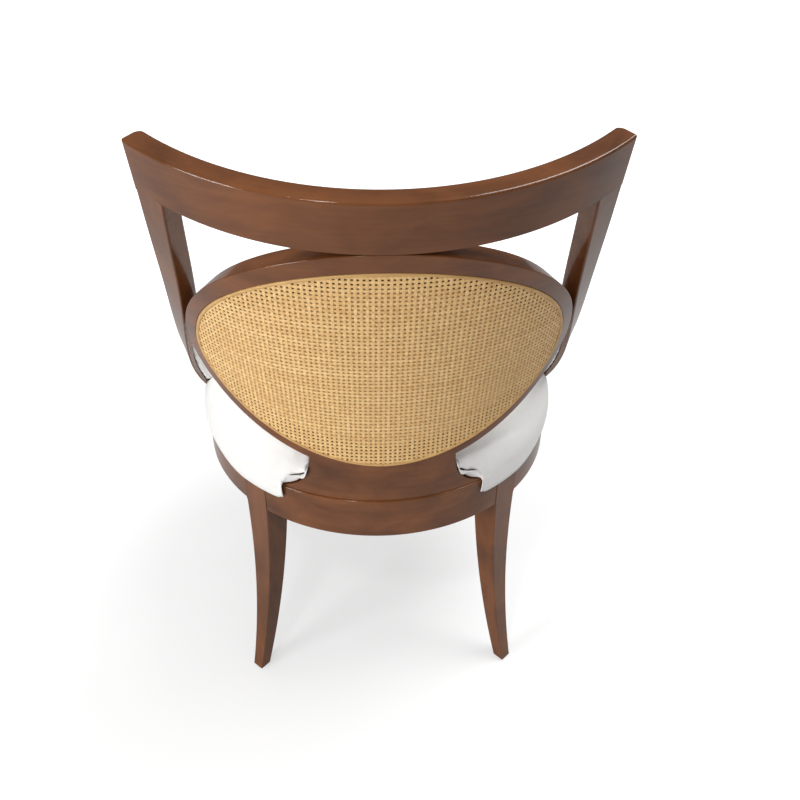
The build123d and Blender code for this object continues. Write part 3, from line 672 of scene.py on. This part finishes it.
def closed(piece):
    """Welds the points that lie on each other and turns every face outward."""
    only(piece)
    bpy.ops.object.mode_set(mode="EDIT")
    bpy.ops.mesh.select_all(action="SELECT")
    bpy.ops.mesh.remove_doubles(threshold=0.00002)
    bpy.ops.mesh.dissolve_degenerate(threshold=0.00001)
    bpy.ops.mesh.normals_make_consistent(inside=False)
    bpy.ops.object.mode_set(mode="OBJECT")


def shaped_block(cuts, to_place):
    """A finely divided block whose points, from -1 to 1 each way, are moved to their places."""
    bpy.ops.mesh.primitive_cube_add(size=2)
    block = added()
    bpy.ops.object.mode_set(mode="EDIT")
    bpy.ops.mesh.subdivide(number_cuts=cuts)
    bpy.ops.object.mode_set(mode="OBJECT")
    for vertex in block.data.vertices:
        vertex.co = to_place(*vertex.co)
    closed(block)
    return block


def cut_by(piece, cutters):
    """Cuts these forms out of a piece."""
    for cutter in cutters:
        apply_modifier(piece, "BOOLEAN", operation="DIFFERENCE", solver="EXACT", object=cutter)
        bpy.data.objects.remove(cutter)


PRESSURE = 4.0
CLOTH_STEPS = 20


def inflated(piece, voxel, cap, held):
    """Swells a closed piece as cloth; points for which held is true stay where they are."""
    apply_modifier(piece, "REMESH", mode="VOXEL", voxel_size=voxel)
    apply_modifier(piece, "SMOOTH", factor=0.5, iterations=4)
    points = piece.data.vertices
    before = [point.co.copy() for point in points]
    fixed = [point.index for point in points if held(point.co)]
    group = piece.vertex_groups.new(name="held")
    group.add(fixed, 1.0, "REPLACE")
    cloth = piece.modifiers.new("Cloth", "CLOTH")
    cloth.settings.use_pressure = True
    cloth.settings.uniform_pressure_force = PRESSURE
    cloth.settings.vertex_group_mass = "held"
    cloth.settings.effector_weights.gravity = 0.0
    cloth.collision_settings.use_collision = False
    for step in range(1, CLOTH_STEPS + 1):
        bpy.context.scene.frame_set(step)
    only(piece)
    bpy.ops.object.modifier_apply(modifier=cloth.name)
    bpy.context.scene.frame_set(1)
    piece.vertex_groups.clear()
    farthest = 0.0
    for point, start in zip(piece.data.vertices, before):
        move = point.co - start
        farthest = max(farthest, move.length)
        if move.length > cap:
            point.co = start + move * (cap / move.length)
    apply_modifier(piece, "SMOOTH", factor=0.5, iterations=2)
    apply_modifier(piece, "SUBSURF", levels=1)
    only(piece)
    bpy.ops.object.shade_smooth()
    print(len(fixed), "points held, the farthest wanted to move", round(farthest * 1000, 1), "mm")


# %% Where the stiles pass the seat
STILE_REACH = 0.88879
STILE_FOOT_TURN = 83
STILE_HEAD_TURN = 45.3
STILE_HOLLOW = 6.3
STILE_SWEEP = 15
SWEEP_SHARE = 0.6
STILE_WIDTH = 0.033
STILE_GAIN = 0.009


def stile_turns(height):
    """The angles of a stile's outer and inner edge at a height."""
    share = (height - RAIL_TOP) / (STILE_REACH - RAIL_TOP)
    straight = STILE_FOOT_TURN + (STILE_HEAD_TURN - STILE_FOOT_TURN) * share
    hollow = STILE_HOLLOW * 4 * share * (1 - share)
    sweep = STILE_SWEEP * max(0, 1 - share / SWEEP_SHARE) ** 2
    outer = math.radians(straight - hollow + sweep)
    return outer, outer - (STILE_WIDTH + STILE_GAIN * share) / board_radius(height)


def board_place(point):
    """The angle, height and depth of a point, seen as a place on the board."""
    centre = RING_Y + board_rear(point.z) - board_radius(point.z)
    across, along = point.x, point.y - centre
    return math.atan2(across, along), point.z, board_radius(point.z) - math.hypot(across, along)


def smooth_step(share):
    """A share from 0 to 1, made gentle at both ends."""
    share = min(1.0, max(0.0, share))
    return share * share * (3 - 2 * share)


print("a stile meets the rail at", [round(math.degrees(turn), 1) for turn in stile_turns(RAIL_TOP)])

# %% Where the pedestal passes the seat
WAIST_HEIGHT = 0.459
WAIST_DROP = 0.059
WAIST_HALF = 0.094
FOOT_SPREAD = 0.052
FOOT_HALF = 0.134
ARCH_TOP = 0.432
ARCH_RISE = 0.012
ARCH_HALF = 0.1345
ARCH_SLOPE = 0.4
PEDESTAL_FRONT = 0.229


def flank(height):
    """Half the pedestal's width at a height: narrow at the waist, hollow down to a broad foot."""
    share = min(1.0, max(0.0, (WAIST_HEIGHT - height) / WAIST_DROP))
    return min(FOOT_HALF, WAIST_HALF + FOOT_SPREAD * (1 - math.sqrt(1 - share**2)))


def notch_edge(height):
    """Half the gap in the cover: it lies on the waist, then lifts off the foot in a small arch."""
    arch = ARCH_HALF - ARCH_SLOPE * (height - RAIL_TOP)
    lifted = smooth_step((ARCH_TOP - height) / ARCH_RISE)
    return flank(height) + max(0.0, arch - flank(height)) * lifted


# %% Blocks that make room for them
BLOCK_LOW = 0.385
BLOCK_BACK = 0.31
STILE_BLOCK_MIDDLE = 0.455
STILE_BLOCK_REACH = 0.065


def at_pedestal(u, v, w, top, edge, margin, front_radius):
    """A place in the block for the pedestal, as high as a top and as far in as a radius."""
    height = BLOCK_LOW + (top - BLOCK_LOW) * (w + 1) / 2
    x = u * (edge(height) + margin)
    front = math.sqrt(front_radius**2 - x**2)
    return x, RING_Y + front + (BLOCK_BACK - front) * (v + 1) / 2, height


def at_stile(u, v, w, margin, side):
    """A place in the block for a stile."""
    height = STILE_BLOCK_MIDDLE + STILE_BLOCK_REACH * w
    outer, inner = stile_turns(height)
    slack = margin / board_radius(height)
    turn = inner - slack + (outer - inner + 2 * slack) * (u + 1) / 2
    depth = -margin + (BOARD_THICKNESS + 2 * margin) * (v + 1) / 2
    return board_point(side * turn, height, depth)


def by_the_back(point, reach):
    """Whether a point of the seat lies this close to the pedestal or to a stile."""
    radius = math.hypot(point.x, point.y - RING_Y)
    behind = point.y > RING_Y and radius > PEDESTAL_FRONT - reach
    if behind and abs(point.x) < notch_edge(point.z) + reach:
        return True
    angle, height, depth = board_place(point)
    outer, inner = stile_turns(height)
    slack = reach / board_radius(height)
    return inner - slack < abs(angle) < outer + slack and -reach < depth < BOARD_THICKNESS + reach


print("half the notch at the rail is", round(notch_edge(RAIL_TOP), 3), "m wide")

# %% [markdown]
# ## The seat cushion
#
# The seat is a round of foam on a board, sewn into one close-fitting cover. The cover overhangs the rails,
# comes down a little over their edge and leaves a notch round the pedestal. The stiles pass down through
# two slits in it. The form is turned from its outline, the notch and the slits are cut out, and then it is
# blown up. Round the notches the cover is pulled tight against the wood, so those points are held.

# %% Make the seat cushion
SEAT_OUTLINE = [
    (0.0, 0.4610), (0.075, 0.4604), (0.150, 0.4587), (0.200, 0.4570), (0.2251, 0.4559),
    (0.2375, 0.4543), (0.2479, 0.4508), (0.2542, 0.4464), (0.2586, 0.4406), (0.2652, 0.4275),
    (0.2680, 0.4121), (0.2675, 0.4045),
]
SEAT_SHRINK = 0.0035
SEAT_FLOOR = 0.4008
SEAT_FLOOR_RADIUS = 0.2630
BOARD_EDGE = 0.2530
BOARD_FACE = 0.4130
SEAT_VOXEL = 0.0042
SEAT_SWELL = 0.005
NOTCH_TOP = 0.470
NOTCH_GAP = 0.0008
ARCH_BLOCK_TOP = 0.436
ARCH_FRONT = 0.251
ARCH_GAP = 0.0005
STILE_GAP = 0.0008


def held_on_seat(point):
    """Whether a point of the seat lies against the rails, the board or the back."""
    radius = math.hypot(point.x, point.y - RING_Y)
    if point.z < 0.406 or point.z < 0.415 and radius < 0.25:
        return True
    return by_the_back(point, 0.0035)


outline = [(max(0.0, radius - SEAT_SHRINK), height - SEAT_SHRINK) for radius, height in SEAT_OUTLINE]
outline += [(SEAT_FLOOR_RADIUS, SEAT_FLOOR), (BOARD_EDGE, SEAT_FLOOR)]
outline += [(BOARD_EDGE, BOARD_FACE), (0.0, BOARD_FACE)]
seat_cushion = lathe(outline, 96)
cutters = []
for top, edge, margin, front in (
    (NOTCH_TOP, flank, NOTCH_GAP, PEDESTAL_FRONT),
    (ARCH_BLOCK_TOP, notch_edge, ARCH_GAP, ARCH_FRONT),
):
    cutters.append(shaped_block(23, lambda u, v, w: at_pedestal(u, v, w, top, edge, margin, front)))
for side in (1, -1):
    cutters.append(shaped_block(15, lambda u, v, w: at_stile(u, v, w, STILE_GAP, side)))
cut_by(seat_cushion, cutters)
inflated(seat_cushion, SEAT_VOXEL, SEAT_SWELL, held_on_seat)

# %% [markdown]
# The cover is pulled down beside the pedestal, and soft upright folds run to the corners there. Each fold
# is a shallow dent with a middle and a width in degrees round the ring, and a depth. The normals are read
# before any point moves, because reading one afterwards makes Blender work all of them out again.

# %% Pull the cover down and lay its folds
PULLED_DOWN = 0.0045
PULL_WIDTH = 0.020
FOLDS = [
    (-24.5, 1.4, 0.0012), (-28.5, 1.2, 0.0016), (-33.0, 1.7, 0.0013), (-40.0, 2.6, 0.0007),
    (26.0, 1.5, 0.0009), (32.5, 1.8, 0.0010), (41.0, 2.8, 0.0006),
]


def rising(value, start, length):
    """A share that grows from 0 to 1 over a length."""
    return min(1.0, max(0.0, (value - start) / length))


outward = [point.normal.copy() for point in seat_cushion.data.vertices]
for point, normal in zip(seat_cushion.data.vertices, outward):
    radius = math.hypot(point.co.x, point.co.y - RING_Y)
    turn = math.degrees(math.atan2(point.co.x, point.co.y - RING_Y))
    reach = rising(radius, 0.205, 0.05)
    depth = sum(deep * math.exp(-((turn - middle) / wide) ** 2) for middle, wide, deep in FOLDS)
    if point.co.z > 0.405:
        point.co -= normal * depth * reach
    beside = (abs(point.co.x) - flank(point.co.z)) / PULL_WIDTH
    lift = rising(point.co.z, 0.430, 0.02)
    if point.co.y > RING_Y and beside > -1:
        point.co.z -= PULLED_DOWN * math.exp(-beside**2) * reach * lift
print(len(FOLDS), "folds")

# %% [markdown]
# The cover ends in a hem: the cloth is turned under and sewn once round. The hem hangs a little over the
# rail, and lowest on both sides of the pedestal, where it ends in a small corner. It is laid on the
# swollen cushion by casting a ray inwards at each place, and its upper edge sinks into the cover. Beside
# the pedestal the cloth is turned in towards the wood. The stitches are one thread that dips in and out.

# %% Where the hem lies
from mathutils.bvhtree import BVHTree

HEM_TOP = 0.4100
HEM_LOW = 0.3885
HEM_DROP = 0.0105
HEM_START = math.radians(30.7)
DROP_END = 36
DROP_LENGTH = 20
CORNER_RISE = 0.005
CORNER_WIDTH = 1.3
RAY_LEVEL = 0.4040
RAY_START = 0.32
RAY_REACH = 0.07
COVER_RADIUS = 0.2655
HEM_RADIUS = 0.2624
HEM_SLOPE = 0.10
surface = BVHTree.FromObject(seat_cushion, bpy.context.evaluated_depsgraph_get())


def hem_low(angle):
    """Height of the hem's lower edge: it hangs down beside the pedestal, with a rounded corner."""
    corner = math.degrees(max(0.0, min(angle - HEM_START, 2 * math.pi - HEM_START - angle)))
    drop = HEM_DROP * smooth_step((DROP_END - corner) / DROP_LENGTH)
    return HEM_LOW - drop + CORNER_RISE * math.exp(-(corner / CORNER_WIDTH) ** 2)


def hem_radius(angle, height):
    """How far out the cover lies at a place, from a ray cast inwards."""
    level = max(height, RAY_LEVEL)
    way = Vector((math.sin(angle), math.cos(angle), 0))
    start = Vector((0, RING_Y, level)) + way * RAY_START
    place, _, _, distance = surface.ray_cast(start, -way)
    radius = RAY_START - distance if place and distance < RAY_REACH else COVER_RADIUS
    return max(HEM_RADIUS, radius - HEM_SLOPE * (level - height))


print("the hem's corners hang", round((HEM_LOW - hem_low(HEM_START)) * 1000, 1), "mm lower")

# %% Strips and threads on the hem
STITCHES = 400
STITCH_RISE = 0.008
STITCH_DIP = 0.0004
THREAD_RADIUS = 0.00028
TURNED_TOP = 0.4480
TURNED_DROP = 0.0466
TURNED_EDGE = 0.0035
TURNED_RADIUS = 0.262
TURNED_END_RADIUS = 0.2540
TURNED_SINK = 0.0008
WOOD_GAP = 0.0015


def wrapped_strip(columns, rows, to_place):
    """A strip whose points run from 0 to 1 along and across, moved to their places."""
    bpy.ops.mesh.primitive_grid_add(x_subdivisions=columns, y_subdivisions=rows, size=1)
    strip = added()
    for vertex in strip.data.vertices:
        vertex.co = to_place(vertex.co.x + 0.5, vertex.co.y + 0.5)
    return strip


def on_hem(along, up, proud):
    """A place on the hem, counted from its lower edge."""
    angle = HEM_START + (2 * math.pi - 2 * HEM_START) * along
    height = hem_low(angle) + (HEM_TOP - hem_low(angle)) * up
    full = 0.0006 * math.sin(math.pi * min(1.0, up * 1.15))
    sunk = 0.0022 * max(0.0, (up - 0.75) / 0.25) ** 2
    edge = full - sunk
    radius = hem_radius(angle, height) + proud + edge
    return Vector((radius * math.sin(angle), RING_Y + radius * math.cos(angle), height))


def hem_thread(along, around):
    """A place on the thread, a thin tube that dips in and out of the hem."""
    dip = STITCH_DIP * math.cos(2 * math.pi * STITCHES * along)
    turn = 2 * math.pi * around
    low = hem_low(HEM_START + (2 * math.pi - 2 * HEM_START) * along)
    centre = on_hem(along, STITCH_RISE / (HEM_TOP - low), 0.0009 + dip)
    out = Vector((centre.x, centre.y - RING_Y, 0)).normalized()
    return centre + (out * math.cos(turn) + Vector((0, 0, 1)) * math.sin(turn)) * THREAD_RADIUS


def on_turned_edge(down, inward, side):
    """A place on the cloth that is turned in beside the pedestal, from the cover to the wood."""
    height = TURNED_TOP - TURNED_DROP * down
    x = notch_edge(height) + TURNED_EDGE
    angle = math.asin(x / TURNED_RADIUS)
    outer = hem_radius(angle, height) - TURNED_SINK
    x += (flank(height) + WOOD_GAP - x) * inward
    radius = outer + (TURNED_END_RADIUS - outer) * inward**0.7
    return Vector((side * x, RING_Y + math.sqrt(radius**2 - x**2), height))


# %% Sew the hem and turn the cloth in
FOLDED_CLOTH = 0.0011
hem = wrapped_strip(360, 10, lambda along, up: on_hem(along, up, 0.0002))
turned = []
for side in (1, -1):
    turned.append(wrapped_strip(30, 8, lambda down, inward: on_turned_edge(down, inward, side)))
for piece in [hem] + turned:
    closed(piece)
    apply_modifier(piece, "SOLIDIFY", thickness=FOLDED_CLOTH, offset=0.0)
thread = wrapped_strip(3200, 6, hem_thread)
closed(thread)
for piece in [hem, thread] + turned:
    only(piece)
    bpy.ops.object.shade_smooth()
seat_cushion = joined([seat_cushion, hem, thread] + turned)
settle(seat_cushion, "seat_cushion", white_cloth)
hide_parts("seat_cover", "seat_foam")

# %% [markdown]
# ## The padded facings
#
# Low down on the inner side of each stile the wood is cut back, and a padded facing is let in there. From
# behind, only its rear edge shows as a pale strip between the stile and the oval. Each starts from the
# frame's own solid, and the side against the wood is held.

# %% Pad the facings of the stiles
def copy_of(name):
    """A free copy of one of the frame's solids."""
    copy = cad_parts[name].copy()
    copy.data = copy.data.copy()
    copy.parent = None
    bpy.context.scene.collection.objects.link(copy)
    copy.hide_render = False
    copy.hide_viewport = False
    copy.hide_set(False)
    closed(copy)
    return copy


FACING_VOXEL = 0.003
FACING_SWELL = 0.0012
FACING_HELD_DEPTH = 0.011


def against_stile(point):
    """Whether a point of a facing lies against the wood of its stile."""
    return board_place(point)[2] < FACING_HELD_DEPTH


for side_name in ("left", "right"):
    facing_pad = copy_of("stile_facing_" + side_name)
    inflated(facing_pad, FACING_VOXEL, FACING_SWELL, against_stile)
    settle(facing_pad, "facing_pad_" + side_name, back_cloth)
    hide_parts("stile_facing_" + side_name)

# %% [markdown]
# ## The inside back
#
# The front of the oval is padded and covered in the same white cloth. The pad is crowned, fullest in the
# middle, and a covered cord hides the edge where the cloth is tacked to the frame.

# %% Pad the inside back
PAD_VOXEL = 0.005
PAD_SWELL = 0.005
PAD_HELD_DEPTH = 0.031
back_pad = copy_of("back_pad_foam")
inflated(back_pad, PAD_VOXEL, PAD_SWELL, lambda point: board_place(point)[2] < PAD_HELD_DEPTH)
settle(back_pad, "back_pad", back_cloth)
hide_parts("back_pad_foam", "back_pad_cover")

# %% Lay the covered cord round the pad
WELT_DEPTH = 0.0279
WELT_RADIUS = 0.0031
WELT_HALF_HEIGHT = 0.0037
welt_line = pad_line.inset(WELT_RADIUS, WELT_RADIUS, WELT_RADIUS)


def on_oval(line, angle, out, depth):
    """A place near an oval line of the board: out from the line, and in from the rear face."""
    x, height = line.place(angle)
    further = math.radians(0.2)
    x_next, height_next = line.place(angle + further)
    along = Vector((x_next - x, height_next - height)).normalized()
    x, height = x + along.y * out, height - along.x * out
    return board_point(math.asin(x / board_radius(height)), height, depth)


def on_welt(along, around):
    """A place on the cord: a soft round section that runs round the pad."""
    turn = 2 * math.pi * around
    depth = WELT_DEPTH + WELT_HALF_HEIGHT * math.sin(turn)
    angle = 2 * math.pi * (along + 0.75)
    return on_oval(welt_line, angle, WELT_RADIUS * math.cos(turn), depth)


welt = wrapped_strip(260, 14, on_welt)
closed(welt)
bpy.ops.object.shade_smooth()
settle(welt, "pad_welt", back_cloth)
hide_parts("back_pad_welt")

# %% [markdown]
# ## Lining and under cloth
#
# Close behind the cane, inside the lip of the frame, lies a pale lining. Light falls through the holes of
# the cane onto it, so the middle of the cane looks pale, and only the holes in front of the lip look dark.
# Under the seat a thin black cloth keeps the dust out. Both are single sheets, stretched tight.

# %% Stretch the lining behind the cane
LINING_DEPTH = 0.0027
LINING_GAP = 0.0017
LINING_RIPPLE = 0.00015
SHEET_THICKNESS = 0.0005
lining_line = lip_line.inset(LINING_GAP, LINING_GAP, LINING_GAP)


def on_lining(around, out):
    """A place on the lining, from the middle outwards, with a slight unevenness."""
    x, height = lining_line.place(2 * math.pi * around)
    x, height = x * out, OVAL_HEIGHT + (height - OVAL_HEIGHT) * out
    ripple = LINING_RIPPLE * math.sin(90 * x) * math.sin(70 * height) * (1 - out**2)
    return board_point(math.asin(x / board_radius(height)), height, LINING_DEPTH + ripple)


lining = wrapped_strip(160, 30, on_lining)
closed(lining)
apply_modifier(lining, "SOLIDIFY", thickness=SHEET_THICKNESS, offset=0.0)
only(lining)
bpy.ops.object.shade_smooth_by_angle(angle=math.radians(40))
settle(lining, "cane_lining", lining_cloth)
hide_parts("back_lining")

# %% Tack the under cloth below the seat
LEG_TURNS = [math.radians(turn) for turn in (43, -43, 137, -137)]
UNDER_RADIUS = 0.2344
UNDER_HEIGHT = 0.3996
UNDER_SAG = 0.0011
POST_HOLE = 0.0422
POST_RADIUS = 0.2394


def on_under_cloth(around, out):
    """A place on the under cloth, with a little sag between the blocks."""
    angle = 2 * math.pi * around
    radius = UNDER_RADIUS * out
    height = UNDER_HEIGHT - UNDER_SAG * (1 - out**2)
    return Vector((radius * math.sin(angle), RING_Y + radius * math.cos(angle), height))


under = wrapped_strip(160, 24, on_under_cloth)
closed(under)
apply_modifier(under, "SOLIDIFY", thickness=SHEET_THICKNESS, offset=0.0)
posts = []
for turn in LEG_TURNS:
    bpy.ops.mesh.primitive_cube_add(size=1)
    post = added()
    post.scale = (POST_HOLE, POST_HOLE, 0.06)
    post.rotation_euler = (0, 0, -turn)
    post.location = (POST_RADIUS * math.sin(turn), RING_Y + POST_RADIUS * math.cos(turn), 0.39)
    posts.append(post)
cut_by(under, posts)
only(under)
bpy.ops.object.shade_smooth_by_angle(angle=math.radians(40))
settle(under, "under_cloth", under_cloth)
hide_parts("dust_cover")

# %% [markdown]
# ## The studio
#
# The chair stands on a pale floor in soft light, as in a catalogue picture. A floor that is lit to white
# would throw too much light on the chair, so the floor's own glow, which only the camera sees, makes it
# white. It fades in away from the chair and leaves the shadow under it. The world does the same: it is
# white to the camera, dimmer to the chair, and dimmest in the lacquer's reflections.

# %% Lay the floor
FLOOR_SIZE = 14
GLOW_START = 0.5
GLOW_END = 1.5
GLOW_NEAR = 0.5
bpy.ops.mesh.primitive_plane_add(size=FLOOR_SIZE, location=(0, 0, 0))
floor = added()
floor.name = "floor"
material, tree, shader, here = new_material("studio_floor", Roughness=0.9)
shader.inputs["Base Color"].default_value = (0.52, 0.52, 0.52, 1)
shader.inputs["Specular IOR Level"].default_value = 0.0
glow = put(tree, "ShaderNodeEmission", None, {"Color": (1, 1, 1, 1)})
light_path = put(tree, "ShaderNodeLightPath")
away = put(tree, "ShaderNodeVectorMath", {"operation": "LENGTH"}, {0: here}).outputs["Value"]
settings = {"interpolation_type": "SMOOTHSTEP"}
inputs = {0: away, 1: GLOW_START, 2: GLOW_END, 3: GLOW_NEAR, 4: 1.0}
fade = put(tree, "ShaderNodeMapRange", settings, inputs).outputs[0]
seen = reckon(tree, "MULTIPLY", light_path.outputs["Is Camera Ray"], fade)
tree.links.new(seen, glow.inputs["Strength"])
both = put(tree, "ShaderNodeAddShader", None, {0: shader.outputs[0], 1: glow.outputs[0]})
tree.links.new(both.outputs[0], tree.nodes["Material Output"].inputs["Surface"])
floor.data.materials.append(material)
print("floor", FLOOR_SIZE, "m wide")

# %% Light from all round
HORIZON_LIGHT = 0.30
ZENITH_LIGHT = 0.80
REFLECTION_LOSS = -0.65
world = bpy.context.scene.world or bpy.data.worlds.new("studio")
bpy.context.scene.world = world
world.use_nodes = True
tree = world.node_tree
background = tree.nodes["Background"]
light_path = put(tree, "ShaderNodeLightPath")
direction = put(tree, "ShaderNodeTexCoord").outputs["Generated"]
upward = put(tree, "ShaderNodeSeparateXYZ", None, {0: direction}).outputs["Z"]
ceiling = ranged(tree, upward, 0.0, 1.0, HORIZON_LIGHT, ZENITH_LIGHT)
mirrored = reckon(tree, "MULTIPLY", light_path.outputs["Is Glossy Ray"], REFLECTION_LOSS)
dimmed = reckon(tree, "MULTIPLY", ceiling, reckon(tree, "ADD", mirrored, 1.0))
seen = reckon(tree, "MAXIMUM", light_path.outputs["Is Camera Ray"], dimmed)
tree.links.new(seen, background.inputs["Strength"])
background.inputs["Color"].default_value = (1, 1, 1, 1)
print("light from", HORIZON_LIGHT, "at the horizon to", ZENITH_LIGHT, "above")

# %% Lamps: a broad key from the left, a narrow one for the edges and a soft fill above
LAMP_AIM = (0, 0, 0.5)


def softbox(name, place, size, energy):
    """A square area lamp that looks at the middle of the chair."""
    bpy.ops.object.light_add(type="AREA", location=place)
    lamp = bpy.context.view_layer.objects.active
    lamp.name = name
    lamp.data.size = size
    lamp.data.energy = energy
    lamp.rotation_euler = (Vector(LAMP_AIM) - Vector(place)).to_track_quat("-Z", "Y").to_euler()


softbox("key", (2.20, 1.53, 0.80), 0.9, 40)
softbox("edge", (0.57, 1.57, 2.5), 0.2, 8)
softbox("fill", (-1.2, -0.1, 3.0), 1.2, 38)

# %% [markdown]
# The camera stands behind the chair and looks down on the oval. Its place, turn and lens were worked out
# from about 60 points that show in the photograph. The lens is written as a focal length in pixels, for a
# picture 800 pixels wide.

# %% The camera at the photograph's viewpoint
FOCAL_PIXELS = 850
PICTURE_PIXELS = 800
SENSOR = 36
yaw, pitch, roll = math.radians(-3.39), math.radians(36.74), math.radians(0.77)
look = Vector((math.sin(yaw) * math.cos(pitch), -math.cos(yaw) * math.cos(pitch), -math.sin(pitch)))
right = look.cross(Vector((0, 0, 1))).normalized()
up = right.cross(look)
right_rolled = math.cos(roll) * right + math.sin(roll) * up
up_rolled = math.cos(roll) * up - math.sin(roll) * right
bpy.ops.object.camera_add(location=(0.0282, 1.0771 + RING_Y, 1.1784))
camera = bpy.context.view_layer.objects.active
camera.rotation_euler = Matrix((right_rolled, up_rolled, -look)).transposed().to_euler()
camera.data.sensor_width = SENSOR
camera.data.lens = FOCAL_PIXELS / PICTURE_PIXELS * SENSOR
camera.data.clip_start = 0.01
bpy.context.scene.camera = camera
bpy.context.scene.view_settings.view_transform = "Standard"
print("camera at", [round(value, 3) for value in camera.location])
